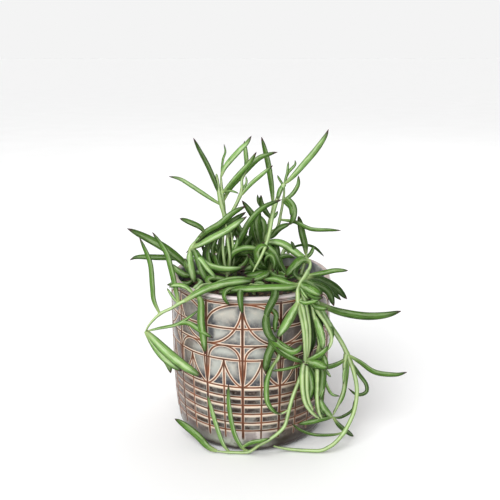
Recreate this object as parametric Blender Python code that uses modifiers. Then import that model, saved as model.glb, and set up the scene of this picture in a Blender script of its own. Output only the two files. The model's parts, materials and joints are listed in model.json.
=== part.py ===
"""Potted string of fishhooks: a trailing succulent in a glazed stoneware pot, standing on its base."""

import math

import bmesh
import bpy
import numpy as np
from mathutils import Vector

# Sizes of the pot, in metres
POT_HEIGHT = 0.112
RIM_RADIUS = 0.0555
INNER_RADIUS = 0.0508
POT_FLOOR = 0.006
RIDGE = 0.0006
RIDGE_HALF_WIDTH = 0.0009
PANELS = 14
PANEL_TURN = math.radians(-5.6)
BODY_HEIGHTS = (0.0, 0.001, 0.003, 0.006, 0.014, 0.025, 0.040, 0.075, 0.100, 0.112)
BODY_RADII = (0.0477, 0.0503, 0.0517, 0.0525, 0.0534, 0.0544, 0.0551, 0.0557, 0.0556, 0.0553)
RING_HEIGHTS = (0.1077, 0.0910, 0.0791, 0.0692, 0.0500, 0.0430, 0.0370, 0.0303, 0.0236, 0.0175)
FIRST_CLOSE_RING = 5
THIN_RIB_TOP = RING_HEIGHTS[3]
RIB_FOOT = 0.0110

# The soil
SOIL_HEIGHT = 0.1040
SOIL_GAP = 0.0003
HOLE_DEPTH = 0.0060

# The drawing board on which the plant is planned: it faces an eye in front of the pot and a little above
# it, and is ruled in squares of 0.7 mm round a centre on the pot's axis.
BOARD_SQUARE = 0.0007
BOARD_HEIGHT = 0.1278
EYE_DISTANCE = 0.4815
EYE_TILT = math.radians(15.887)
EYE = Vector((0.0, -EYE_DISTANCE * math.cos(EYE_TILT), BOARD_HEIGHT + EYE_DISTANCE * math.sin(EYE_TILT)))

# Leaves and stems
TUBE_SIDES = 6
SEGMENT_LENGTH = 0.0100
LEAF_STATIONS = (0.0, 0.12, 0.30, 0.50, 0.72, 0.88, 1.0)
LEAF_FULLNESS = (0.42, 0.70, 0.94, 1.0, 0.92, 0.62, 0.12)
LEAST_RADIUS = 0.0003

# Each leafy stem: its place in the soil in millimetres (to the right, to the back), then its strands.
# A strand is its kind, its width in squares, and its points from the base to the tip: squares to the
# right, squares up, and millimetres from the pot's axis toward the viewer.
STEMS = {
    "stem_tall_left": ((-12, 18), (
        ("stem", 4.5, ((-18, -5, -16), (-25, 25, -14), (-27, 40, -12), (-29, 60, -10), (-30, 74, -8))),
        ("stem", 4.0, ((-25, 27, -14), (-21, 34, -10), (-14, 47, -6), (-9, 60, -3), (-9, 70, -2), (-5, 78, -2))),
        ("leaf", 5.0, ((-30, 50, -10), (-33, 60, -9), (-42, 82, -5), (-52, 101, -2), (-57.5, 112, 0))),
        ("leaf", 4.5, ((-28, 44, -11), (-41, 52, -7), (-60, 64.5, -1), (-71, 71, 2), (-82, 73.5, 5))),
        ("leaf", 2.4, ((-30, 73, -8), (-28, 90, -9), (-25.5, 98, -10), (-27, 106, -11))),
        ("leaf", 5.6, ((-30, 73, -8), (-25, 84, -5), (-11, 100, 0), (-4, 107, 2), (0.5, 114, 4))),
        ("leaf", 5.6, ((-29, 56, -10), (-14, 73, -2), (-3, 85, 3), (2, 92, 5), (5.5, 98, 7))),
        ("leaf", 6.0, ((-28, 48, -11), (-22, 60, -12), (-11, 73, -11), (7, 91, -9), (21, 96.5, -7), (26.5, 97.7, -6))),
        ("leaf", 2.4, ((-29, 58, -10), (-20, 59, -5), (-12, 56.5, 0))),
        ("leaf", 4.6, ((-6, 76, -2), (-4.5, 87, -1), (-5, 95, 0), (-6.5, 109, 2))),
        ("leaf", 2.4, ((-9, 60, -3), (-4.5, 67, 2), (-5, 74, 5))),
        ("leaf", 4.4, ((-11, 53, -4), (-1, 65, 2), (11, 75.5, 7), (22, 84.5, 11))),
    )),
    "stem_tall_middle": ((4, 28), (
        ("stem", 4.0, ((10, 5, -26), (16, 20, -24), (21, 38, -22), (22, 48, -21))),
        ("leaf", 5.8, ((22, 46, -21), (21, 60, -20), (18, 82, -18), (14.5, 98, -16), (10.5, 113, -14))),
        ("leaf", 5.6, ((19.5, 32, -22.5), (13, 41, -17), (10, 48, -14), (10, 55, -12))),
        ("leaf", 3.2, ((15, 38, -18), (8, 47, -16), (6.5, 55.5, -15))),
        ("leaf", 6.6, ((12, 8, -26), (8, 25, -21), (1, 36, -16), (-9, 49.5, -12))),
        ("leaf", 8.4, ((10, 5, -26), (8, 18, -21), (6.5, 29, -18), (9, 39, -15))),
        ("leaf", 3.2, ((19, 30, -22), (24, 34, -19), (27, 39, -17))),
    )),
    "stem_tall_right": ((12, 20), (
        ("stem", 3.6, ((15, 12, -18), (26, 22, -15), (30, 37, -13), (33, 55, -11), (33, 67, -10))),
        ("leaf", 6.4, ((33, 66, -10), (41, 72.5, -8), (53, 86, -4), (65, 100, 0), (74, 113, 4), (77.5, 120.5, 6))),
        ("leaf", 3.2, ((33, 66, -10), (37, 77, -13), (44, 85, -15), (44, 90, -16))),
        ("leaf", 2.6, ((33, 66, -10), (36, 76, -8), (37.5, 88.5, -6))),
        ("leaf", 2.6, ((33, 64, -10), (28.5, 70.5, -7), (26.3, 75, -6))),
        ("leaf", 4.4, ((33, 50, -11), (41, 55.5, -6), (47, 65, -3), (47.5, 74.5, -1))),
        ("leaf", 4.4, ((33, 66, -10), (29, 60, -7), (26, 51, -5))),
        ("leaf", 6.0, ((32, 49, -12), (36, 47, -8), (40.5, 42, -5), (40.5, 33, -4))),
        ("leaf", 4.2, ((28, 30.5, -14), (44, 28, -9), (60, 21, -6), (79, 20, -2), (90, 19.5, 0))),
        ("leaf", 6.4, ((17, 12, -18), (22, 15, -13), (29, 22, -9), (39.5, 26.5, -7))),
    )),
    "stem_upright_right": ((37, 17), (
        ("stem", 4.0, ((54.5, -10, -17), (55.5, -3, -16.5))),
        ("leaf", 7.0, ((55, -4, -17), (54, 5, -16), (51.5, 15, -15), (49.5, 25, -15), (47.5, 34, -14))),
        ("leaf", 4.0, ((54.5, -9, -17), (60, -3, -20), (63, 4, -24))),
    )),
    "stem_left": ((-38, 3), (
        ("stem", 4.6, ((-57, -31, 0), (-60, -15, -1), (-61.5, -6, -2), (-60, 2, -3), (-54, 10, -4))),
        ("leaf", 6.8, ((-57, 6, -3), (-46, 17, -4), (-31, 26, -3), (-18, 37, -2), (-5, 44, -2))),
        ("leaf", 7.4, ((-60, 1, -3), (-44, 9, 2), (-25, 19, 4), (-10, 29.5, 4), (-4, 33.5, 4))),
        ("leaf", 5.6, ((-46, 17, -4), (-51, 23, -1), (-64, 29, 2), (-71, 31.5, 4))),
        ("leaf", 3.2, ((-56, 7.5, -4), (-53, 11, 2), (-50, 14, 4))),
        ("leaf", 8.4, ((-59, -22, 0), (-68, -12, 3), (-83, 0, 7), (-99, 9.5, 9), (-116, 18, 11), (-123.5, 21.5, 12))),
        ("leaf", 6.0, ((-60, -16, -1), (-73, -8.5, 0), (-94, -7.3, -1), (-113, -7, -1), (-121, -10, -1))),
        ("leaf", 5.0, ((-58, -27, 0), (-64, -17, 6), (-66, -8, 8))),
        ("leaf", 6.6, ((-60, -2, -2), (-55, -3, 5), (-46, -13, 10), (-31, -18.5, 13), (-15, -18.5, 14), (-6, -16, 14))),
        ("leaf", 5.2, ((-59, -8, -1), (-51, -9, 11), (-43, -19, 16), (-37, -26, 17), (-33, -32, 17))),
        ("leaf", 7.6, ((-60, 1, -2), (-61, -9, 4), (-59, -21, 8), (-56, -34, 10))),
    )),
    "tuft_inner_left": ((-17, 4), (
        ("stem", 3.4, ((-24, -24, -4), (-26, -16, -5))),
        ("leaf", 4.4, ((-25, -20, -4), (-32, -10, -4), (-30, 3, -6), (-28, 14, -8))),
        ("leaf", 4.4, ((-25, -20, -4), (-27, -10, -7), (-24, 2, -8), (-24, 15, -8))),
        ("leaf", 4.2, ((-24, -22, -4), (-20, -11, -3), (-18, 0, -2), (-21, 13, -2))),
        ("leaf", 4.6, ((-25, -24, -4), (-38, -18, -2), (-43, -4, -4), (-39, 9, -6))),
        ("leaf", 6.4, ((-24, -22, -4), (-16, -5, -4), (-9, 14, -4), (0, 30, -2), (13, 43, 1), (31, 50.5, 4))),
        ("leaf", 5.4, ((-24, -22, -4), (-20, -8, 0), (-14, 6, 2), (-13, 15, 0))),
        ("leaf", 6.2, ((-23, -22, -4), (-13, -9, -9), (-8, 1, -14), (-9, 9, -17))),
        ("leaf", 4.6, ((-25, -22, -4), (-33, -15, 1), (-37, -3, 2))),
        ("leaf", 5.0, ((-23, -23, -4), (-12, -18, 0), (-5, -12, 4), (-2, -4, 6))),
    )),
    "tuft_inner_right": ((15, -2), (
        ("stem", 3.4, ((20, -26, 3), (17, -16, 4))),
        ("leaf", 4.4, ((17, -17, 4), (11, -8, 5), (15, 7, 5))),
        ("leaf", 3.6, ((18, -20, 4), (6, -14, 4), (5, -4, 1), (10, 4, -2))),
        ("leaf", 5.8, ((18, -18, 4), (18, -1, 5), (26, -7, 8), (32, -18, 11), (38, -27, 13))),
        ("leaf", 5.4, ((17, -16, 4), (14, -4, 10), (19, -6, 14), (24, -14, 17), (27, -24, 18))),
        ("leaf", 5.0, ((18, -20, 4), (27, -9, 0), (36, -6, -4), (44, -8, -6))),
        ("leaf", 4.6, ((17, -20, 4), (8, -20, 10), (1, -14, 14), (-2, -6, 15))),
        ("leaf", 4.6, ((18, -19, 4), (22, -8, -2), (23, -1, -8), (27, 3, -12))),
        ("leaf", 5.2, ((17, -16, 4), (8, -3, -1), (-4, -0.5, -6), (-13, -1, -9))),
    )),
    "stem_front": ((2, -22), (
        ("stem", 4.0, ((3, -40, 28), (0, -36, 33))),
        ("leaf", 6.2, ((1, -37, 32), (6, -34, 35), (11, -34, 39), (15, -35, 41))),
        ("leaf", 7.4, ((0, -36, 33), (-9, -38.5, 43), (-20, -40.5, 46), (-29, -42, 49), (-34, -42.5, 50))),
        ("leaf", 5.4, ((0, -36, 33), (-13, -38, 42), (-24, -40, 51), (-27, -46, 57.5), (-24, -52, 59), (-20, -56, 58.5))),
        ("leaf", 7.0, ((0, -36, 33), (-8, -38, 44), (-10.5, -43, 55), (-10.5, -51, 61), (-9.5, -58, 61.5), (-8, -65, 61))),
        ("stem", 5.0, ((0, -36, 33), (12, -37, 42), (22, -40, 50), (24, -45, 58), (20, -54, 61.5), (16, -63, 62),
                       (15, -73, 61.5), (20, -85, 60), (27, -91, 59))),
        ("leaf", 8.4, ((12, -37, 42), (22, -40, 50), (24, -45, 58), (20, -54, 62), (16, -63, 62.5), (15, -73, 61.5))),
        ("leaf", 4.4, ((20, -85, 60), (31, -94, 57.5), (43, -100.5, 56), (48, -99, 56), (51, -94.5, 56))),
        ("leaf", 5.2, ((19, -57, 61), (25, -64, 59), (24, -74, 59), (24, -83, 58.5))),
        ("leaf", 7.4, ((19, -83, 60), (22, -93, 58.5), (18, -104, 58.5), (14.5, -124, 58.5))),
        ("stem", 3.2, ((26, -90, 59), (28, -100, 56), (27, -108, 56.5), (20, -119, 58.5), (16, -131, 59), (15.5, -143, 59),
                       (17, -153, 59), (24, -162, 59.5), (31, -163, 59.5), (38, -159, 59))),
    )),
    "stem_left_trailing": ((-22, -12), (
        ("stem", 4.0, ((-36, -35, 20), (-46, -35, 34), (-51.5, -37.5, 43), (-56, -43, 48), (-61, -48, 48.5),
                       (-71, -53, 45.5), (-79, -58, 41), (-91, -64, 35), (-101, -74, 28), (-105.5, -82, 22))),
        ("leaf", 7.4, ((-40, -35.5, 27), (-28, -35, 30.5), (-14, -32, 28), (4, -28.5, 24))),
        ("leaf", 4.8, ((-38, -35, 24), (-29, -31, 22), (-17, -28.5, 18), (-1, -28, 15))),
        ("leaf", 5.6, ((-72, -53, 45), (-75, -40, 38), (-80, -18, 32), (-85, -2, 27), (-98.5, 18, 21))),
        ("leaf", 5.2, ((-91, -64, 35), (-97, -50, 26), (-98.5, -35, 22), (-101, -12, 18), (-111.5, 13, 15))),
        ("leaf", 3.0, ((-73, -53, 45), (-78, -47, 41), (-84, -38, 37))),
        ("leaf", 3.4, ((-104, -81, 23), (-91, -78, 32), (-76, -75, 42), (-66, -70, 47), (-56, -63, 51), (-49, -57, 52))),
        ("leaf", 8.4, ((-105, -82, 22), (-91, -100, 27), (-83, -112, 31), (-80, -123, 34))),
        ("leaf", 10.0, ((-105, -81, 22), (-86, -100, 34), (-69, -114, 43), (-49, -127, 50))),
        ("leaf", 5.2, ((-76, -75, 42), (-63, -73, 49), (-50, -81, 54), (-38, -88, 56))),
        ("leaf", 7.8, ((-55, -42, 47), (-50, -52, 53.5), (-50, -70, 53.5), (-48, -85, 53.5), (-45.5, -104, 53))),
        ("leaf", 5.0, ((-57, -44, 48), (-65, -37, 44), (-74, -35, 39), (-82, -37, 35))),
    )),
    "stem_trailing_front": ((30, -18), (
        ("stem", 4.6, ((56, -22, 20), (55, -26, 30), (49, -35, 41), (47, -40, 46.5), (47, -46, 50), (48, -58, 50.5), (51, -70, 50.5),
                       (53, -82, 50.5), (54, -97, 50), (54, -113, 50), (49, -128, 51), (42, -146, 53), (38, -160, 54),
                       (34, -175, 55.5), (27, -183, 57), (18, -189.5, 58.5), (8, -195, 58.5), (0, -200.5, 55.5),
                       (-8, -202.2, 54.1), (-17, -202, 54.1), (-26, -201.7, 53.9), (-36, -200.6, 52.7))),
        ("leaf", 7.0, ((-34, -200.8, 53), (-43, -196.5, 51.5), (-54, -185, 46), (-69, -173, 38), (-76, -168.5, 34))),
        ("leaf", 4.4, ((-21, -201.9, 54), (-27, -195, 57), (-33, -180, 57), (-39, -160, 55), (-44, -143, 53))),
        ("leaf", 4.8, ((-2, -201, 55), (-9, -197, 58), (-17, -182, 60), (-22, -155, 59.5), (-22.5, -133, 58.5))),
        ("leaf", 4.2, ((-9, -197, 58), (0, -192.5, 62), (10, -190.5, 63.5), (19, -188, 64))),
        ("stem", 4.6, ((50, -36, 41), (52, -44, 48), (56, -62, 48.5), (58.5, -80, 48.5), (58, -98, 48.5), (55, -112, 49.5))),
        ("leaf", 6.2, ((49, -35, 41), (39, -34, 40), (25, -29.5, 35), (12, -29.5, 29))),
        ("leaf", 6.2, ((49, -35, 41), (43, -38, 45), (35, -39, 48), (28, -39.5, 50))),
        ("leaf", 2.6, ((55, -25, 27), (45, -26, 28), (37, -29, 31))),
        ("leaf", 9.0, ((58, -12, 14), (50, -10, 18), (42, -18, 22), (34, -27, 24))),
        ("leaf", 5.2, ((55, -26, 29), (69, -23.5, 29), (84, -20.5, 27), (97, -20.5, 24))),
        ("leaf", 7.8, ((54, -28, 32), (69, -29.5, 34), (84, -37, 37), (96, -49, 38))),
        ("leaf", 6.6, ((53, -30, 35), (66, -32.5, 42), (78, -39, 44), (90, -50, 47))),
        ("leaf", 8.4, ((51, -33, 38), (64, -34, 48), (77, -41, 50), (83, -56, 51))),
        ("leaf", 10.0, ((50, -35, 41), (56, -38, 48), (64, -42, 53), (71, -46, 56))),
        ("leaf", 3.4, ((49, -36, 42), (53, -44, 52), (58, -50, 55))),
        ("leaf", 4.4, ((47, -50, 50), (55, -53, 56), (69, -50, 60))),
        ("leaf", 5.8, ((48, -57, 50), (42, -66, 54), (36, -76, 56), (28, -86, 56))),
        ("leaf", 7.8, ((59, -12, 14), (49, -5.5, 8), (34, 5, 0), (24, 8, -3), (11, 7, -8))),
        ("leaf", 3.4, ((44, -1.5, 5), (42, 5, 5), (40, 9, 5))),
        ("stem", 4.2, ((55, -26, 29), (56, -23, 24), (59, -17, 17), (59, -11, 13))),
        ("leaf", 5.4, ((55, -110, 50), (62, -108, 52), (72, -102, 54), (78, -95, 55))),
        ("leaf", 6.0, ((55, -112, 50), (62, -112, 50), (69, -107, 49.5), (74, -102, 49.5))),
        ("leaf", 5.0, ((54, -113, 50), (53, -128, 53), (54, -145, 53), (58, -158, 53), (64, -164, 53))),
        ("leaf", 3.2, ((54, -113, 50), (57.5, -125, 49.5), (57, -148, 50))),
        ("leaf", 3.2, ((54, -112, 50), (50, -121, 55), (50, -136, 55.5))),
        ("leaf", 6.0, ((55, -112, 50), (60, -124, 48), (60.5, -138, 48), (60, -150, 48))),
        ("leaf", 4.2, ((54, -113, 50), (45, -109, 56), (34, -103, 61), (25, -97, 63))),
        ("leaf", 3.2, ((54, -113, 50), (46, -116, 54.5), (34, -119, 60), (20, -121, 64))),
    )),
    "stem_trailing_right": ((37, -14), (
        ("stem", 4.0, ((60, -33, 25), (62, -32.5, 33), (64, -37, 39.5), (63, -44, 43.5), (61, -54, 45), (63, -66, 45),
                       (66, -80, 45), (69, -96, 45), (71, -112, 45), (71, -124, 45), (67, -138, 46), (65.5, -150, 46.5),
                       (66, -160, 47), (72, -166, 44.5), (82, -167, 40))),
        ("stem", 4.8, ((63, -43, 43), (66, -56, 42), (72, -66, 39.5), (79, -75, 36.5), (86, -85, 33), (92, -95, 30),
                       (97, -106, 28), (102, -119, 28), (105.5, -135, 30), (105.5, -147, 33), (103, -161, 38),
                       (98, -173, 43), (92, -183.5, 48), (84, -192.5, 52), (77, -197.3, 53.5), (69, -200.4, 53),
                       (55, -200.2, 52.5), (45, -199.6, 52), (36, -198.6, 52.2), (29, -197.4, 54), (23, -196, 56.5))),
        ("leaf", 8.0, ((64, -51, 43), (79, -58.5, 42), (94, -63, 39), (115, -66, 34), (134, -65, 30), (150, -61, 25))),
        ("leaf", 6.0, ((61, -53, 45), (66, -57, 50), (77, -59, 53))),
        ("leaf", 7.6, ((63, -65, 45), (68, -78, 46), (71, -90, 47), (71, -100, 48))),
        ("leaf", 4.4, ((78, -74, 37), (81, -83, 41), (79, -94, 44))),
        ("leaf", 3.4, ((71, -115, 45), (76, -122, 43), (80, -127, 42))),
        ("leaf", 3.6, ((71, -118, 45), (73, -132, 49), (69, -150, 52.5))),
        ("leaf", 3.6, ((71, -121, 45), (76, -136, 42), (81, -144, 39), (89, -146, 37.5))),
        ("leaf", 5.2, ((96, -104, 28), (109, -112, 31), (124, -122, 32), (144, -124.5, 28), (156, -122, 25))),
        ("leaf", 5.2, ((97, -107, 28), (88, -113, 34), (78, -116.5, 43), (66, -117, 53), (53, -114, 59))),
        ("leaf", 3.6, ((98, -109, 28), (95.5, -128, 29), (92, -146, 31), (87, -155, 32), (82, -162, 32))),
        ("leaf", 3.0, ((97, -110, 28), (93, -122, 33), (92.5, -134, 34))),
        ("leaf", 4.0, ((99, -110, 28), (108, -124, 23), (115, -134, 21), (115, -142, 22), (106, -144.5, 23.5), (97, -138, 22))),
        ("leaf", 7.2, ((81, -167, 40), (75, -161, 46), (70.5, -154, 50.5), (68.5, -146, 52))),
        ("leaf", 4.2, ((81, -167, 40), (71, -169, 47.5), (59, -172, 51), (46, -174, 52.5))),
        ("leaf", 3.0, ((82, -167, 40), (90, -167, 34), (101, -160, 27), (103, -150, 25))),
        ("leaf", 5.0, ((82, -167, 40), (88, -175, 41.5), (98, -183, 37), (102.5, -186, 34))),
        ("leaf", 3.2, ((93, -182, 47), (82, -184.5, 51), (64, -184.5, 56), (50, -180, 58), (39, -172, 59.5))),
    )),
}

# Stems behind the plant, in millimetres: to the right, to the back, up
BACK_STEMS = {
    "stem_back_left": ((-16, 33), (
        ("stem", 2.6, ((-18, 38, 112), (-23, 47, 116.5), (-27, 56, 112), (-29, 59.5, 99), (-28, 60.5, 80), (-24, 62, 62))),
        ("leaf", 4.4, ((-19, 41, 114), (-30, 45, 119), (-41, 49, 118), (-51, 54, 110))),
        ("leaf", 4.2, ((-22, 45, 116), (-14, 55, 119), (-8, 66, 115))),
        ("leaf", 4.4, ((-28, 58, 107), (-38, 62, 98), (-45, 62, 84))),
        ("leaf", 4.6, ((-29, 60, 96), (-20, 65, 86), (-13, 66, 72))),
        ("leaf", 4.0, ((-28, 60.5, 82), (-35, 65, 72), (-38, 67, 58))),
        ("leaf", 3.8, ((-25, 61.5, 66), (-22, 65, 52), (-24, 66, 38))),
    )),
    "stem_back_right": ((22, 34), (
        ("stem", 2.6, ((24, 40, 113), (27, 48, 116.5), (29, 55, 112), (29, 58.5, 98), (25, 61, 78), (22, 62, 50), (24, 62, 34))),
        ("leaf", 4.4, ((25, 42, 114), (37, 44, 119), (48, 47, 117), (57, 51, 108))),
        ("leaf", 4.2, ((27, 47, 116), (17, 56, 119), (10, 66, 113))),
        ("leaf", 4.4, ((29, 57, 105), (40, 59, 98), (49, 60, 84))),
        ("leaf", 4.6, ((28, 59.5, 92), (16, 64, 84), (7, 66, 72))),
        ("leaf", 4.0, ((25, 61, 78), (35, 66, 68), (40, 68, 54))),
        ("leaf", 4.0, ((22, 62, 56), (12, 66, 46), (8, 68, 32))),
        ("leaf", 3.8, ((24, 62, 38), (30, 65, 26), (31, 66, 12))),
    )),
}


def clear_scene():
    for thing in list(bpy.data.objects):
        bpy.data.objects.remove(thing)


def new_collection(name, hidden=False):
    made = bpy.data.collections.new(name)
    made.hide_render = hidden
    bpy.context.scene.collection.children.link(made)
    return made


def make_material(name, colour, roughness):
    material = bpy.data.materials.new(name)
    material.use_nodes = True
    shader = material.node_tree.nodes["Principled BSDF"]
    shader.inputs["Base Color"].default_value = (*colour, 1.0)
    shader.inputs["Roughness"].default_value = roughness
    shader.inputs["Metallic"].default_value = 0.0
    return material


def object_from(name, mesh, collection, material):
    made = bpy.data.objects.new(name, mesh)
    made.data.materials.append(material)
    collection.objects.link(made)
    return made


def evaluated_mesh(thing, collection):
    """A plain mesh of an object as its modifiers leave it, with its loose caps welded."""
    bpy.context.view_layer.update()
    graph = bpy.context.evaluated_depsgraph_get()
    mesh = bpy.data.meshes.new_from_object(thing.evaluated_get(graph))
    work = bmesh.new()
    work.from_mesh(mesh)
    bmesh.ops.remove_doubles(work, verts=work.verts, dist=0.000001)
    bmesh.ops.recalc_face_normals(work, faces=work.faces)
    work.to_mesh(mesh)
    work.free()
    return mesh


def from_board(point):
    """A point of the plan in space, on the eye's line through its place on the board."""
    across, up, toward = point
    board = Vector((across * BOARD_SQUARE, 0.0, BOARD_HEIGHT))
    board += up * BOARD_SQUARE * Vector((0.0, math.sin(EYE_TILT), math.cos(EYE_TILT)))
    line = board - EYE
    return EYE + line * ((-0.001 * toward - EYE.y) / line.y)


def apparent_size(point):
    """How much larger than on the board a thing at this point is for the same drawn width."""
    sight = Vector((0.0, math.cos(EYE_TILT), -math.sin(EYE_TILT)))
    return (point - EYE).dot(sight) / EYE_DISTANCE


def smooth_path(points, count):
    """Evenly spaced points along a smooth curve through the given points."""
    knots = np.array([tuple(p) for p in points])
    if len(knots) == 2:
        return [Vector(p) for p in np.linspace(knots[0], knots[1], count)]
    padded = np.vstack([2 * knots[0] - knots[1], knots, 2 * knots[-1] - knots[-2]])
    fine = []
    for i in range(1, len(padded) - 2):
        before, start, end, after = padded[i - 1:i + 3]
        for step in np.linspace(0, 1, 16, endpoint=False):
            bend = 2 * before - 5 * start + 4 * end - after
            twist = 3 * (start - end) + after - before
            fine.append(0.5 * (2 * start + (end - before) * step + bend * step**2 + twist * step**3))
    fine.append(knots[-1])
    fine = np.array(fine)
    along = np.concatenate([[0], np.cumsum(np.linalg.norm(np.diff(fine, axis=0), axis=1))])
    stops = np.linspace(0, along[-1], count)
    return [Vector((np.interp(s, along, fine[:, 0]), np.interp(s, along, fine[:, 1]), np.interp(s, along, fine[:, 2])))
            for s in stops]


def path_length(points):
    return sum((b - a).length for a, b in zip(points, points[1:]))


def strand(kind, points, radius, collection, material, foot=None):
    """A stem or a leaf as a closed mesh: a bevelled curve whose radius follows its kind's outline.

    A foot is a straight end before the first point, for the part in the soil."""
    segments = max(3, min(44, round(path_length(points) / SEGMENT_LENGTH)))
    if kind == "leaf":
        segments = max(3, min(7, segments))
    path = smooth_path(points, segments + 1)
    if foot:
        path.insert(0, foot)
    curve = bpy.data.curves.new("strand", "CURVE")
    curve.dimensions = "3D"
    curve.bevel_depth = 1.0
    curve.bevel_resolution = TUBE_SIDES // 2 - 2
    curve.use_fill_caps = True
    spline = curve.splines.new("POLY")
    spline.points.add(len(path) - 1)
    for i, place in enumerate(path):
        along = i / (len(path) - 1)
        full = np.interp(along, LEAF_STATIONS, LEAF_FULLNESS) if kind == "leaf" else 1.0 - 0.3 * along
        spline.points[i].co = (*place, 1.0)
        spline.points[i].radius = max(LEAST_RADIUS, radius * full)
    guide = bpy.data.objects.new("strand", curve)
    collection.objects.link(guide)
    mesh = evaluated_mesh(guide, collection)
    bpy.data.objects.remove(guide)
    return object_from("strand", mesh, collection, material)


def join_strands(name, strands, work, home):
    """One closed body from the strands of a stem, the first of which is the main one."""
    body = strands[0]
    body.name = name
    home.objects.link(body)
    work.objects.unlink(body)
    union = body.modifiers.new("Union", "BOOLEAN")
    union.operation = "UNION"
    union.operand_type = "COLLECTION"
    union.collection = work
    union.solver = "MANIFOLD"
    mesh = evaluated_mesh(body, home)
    body.modifiers.clear()
    body.data = mesh
    for other in strands[1:]:
        bpy.data.objects.remove(other)
    body.data.shade_smooth()
    body.data.set_sharp_from_angle(angle=math.radians(50))
    return body


def make_stem(name, root, strands, on_board, home, work, material):
    """A leafy stem that stands in its hole in the soil."""
    bodies = []
    foot = Vector((root[0] * 0.001, root[1] * 0.001, SOIL_HEIGHT - HOLE_DEPTH))
    collar = foot + Vector((0.0, 0.0, HOLE_DEPTH + 0.0015))
    for kind, width, plan in strands:
        if on_board:
            points = [from_board(p) for p in plan]
            middle = points[len(points) // 2]
            radius = 0.5 * width * BOARD_SQUARE * apparent_size(middle)
        else:
            points = [Vector(p) * 0.001 for p in plan]
            radius = 0.0005 * width * (0.7 if kind == "leaf" else 1.0)
        if bodies:
            bodies.append(strand(kind, points, radius, work, material))
        else:
            bodies.append(strand(kind, [collar] + points, radius, work, material, foot))
    return join_strands(name, bodies, work, home)


def body_radius(height):
    return float(np.interp(height, BODY_HEIGHTS, BODY_RADII))


def pot_profile():
    """The pot's section as radius, height and how far that point carries the upright ribs."""
    points = [(INNER_RADIUS + 0.0006, POT_HEIGHT - 0.0012, 0), (INNER_RADIUS + 0.0016, POT_HEIGHT - 0.0001, 0)]
    points += [(RIM_RADIUS - 0.0016, POT_HEIGHT, 0), (RIM_RADIUS - 0.0002, POT_HEIGHT - 0.0012, 0)]
    for i, height in enumerate(RING_HEIGHTS):
        rib = 1 if height >= THIN_RIB_TOP + 0.001 else 2
        if i < FIRST_CLOSE_RING:
            upper = height + RIDGE_HALF_WIDTH
            points.append((body_radius(upper), upper, rib if i else 0))
        points.append((body_radius(height) + RIDGE, height, 0))
        if i < FIRST_CLOSE_RING - 1:
            lower = height - RIDGE_HALF_WIDTH
            points.append((body_radius(lower), lower, rib if i != 3 else 2))
        else:
            lowest = RING_HEIGHTS[i + 1] if i + 1 < len(RING_HEIGHTS) else RIB_FOOT
            lower = 0.5 * (height + lowest)
            points.append((body_radius(lower), lower, 2))
    points.append((body_radius(RIB_FOOT), RIB_FOOT, 0))
    points += [(body_radius(h), h, 0) for h in (0.006, 0.003, 0.001, 0.0)]
    points += [(0.0, 0.0, 0), (0.0, POT_FLOOR, 0), (INNER_RADIUS - 0.005, POT_FLOOR, 0), (INNER_RADIUS, 0.012, 0)]
    return points


def make_pot(home, material):
    """The pot: a turned profile whose columns are drawn to the ribs, then raised along them."""
    profile = pot_profile()
    mesh = bpy.data.meshes.new("pot")
    ends = [(i, (i + 1) % len(profile)) for i in range(len(profile)) if profile[i][0] or profile[i - len(profile) + 1][0]]
    mesh.from_pydata([(r, 0.0, z) for r, z, _ in profile], ends, [])
    pot = object_from("pot", mesh, home, material)
    screw = pot.modifiers.new("Screw", "SCREW")
    screw.axis = "Z"
    screw.steps = 4 * PANELS
    screw.render_steps = screw.steps
    screw.use_merge_vertices = True
    screw.merge_threshold = 0.00005
    screw.use_smooth_shade = True
    turned = evaluated_mesh(pot, home)
    pot.modifiers.clear()
    pot.data = turned
    ribbed = [(z, rib) for r, z, rib in profile if rib]
    column = 2 * math.pi / (4 * PANELS)
    for vertex in pot.data.vertices:
        x, y, z = vertex.co
        radius = math.hypot(x, y)
        if radius < INNER_RADIUS + 0.0004 or z < 0.0005:
            continue
        panel, side = divmod(round(math.atan2(x, -y) / column) + 1, 4)
        angle = 4 * panel * column
        angle += 2 * column if side == 3 else (side - 1) * RIDGE_HALF_WIDTH / radius
        rib = next((k for h, k in ribbed if abs(h - z) < 0.00002), 0)
        if (side == 1 and rib) or (side == 3 and rib == 2):
            radius += RIDGE
        angle += PANEL_TURN
        vertex.co = (radius * math.sin(angle), -radius * math.cos(angle), z)
    pot.data.update()
    pot.data.set_sharp_from_angle(angle=math.radians(50))
    return pot


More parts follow.
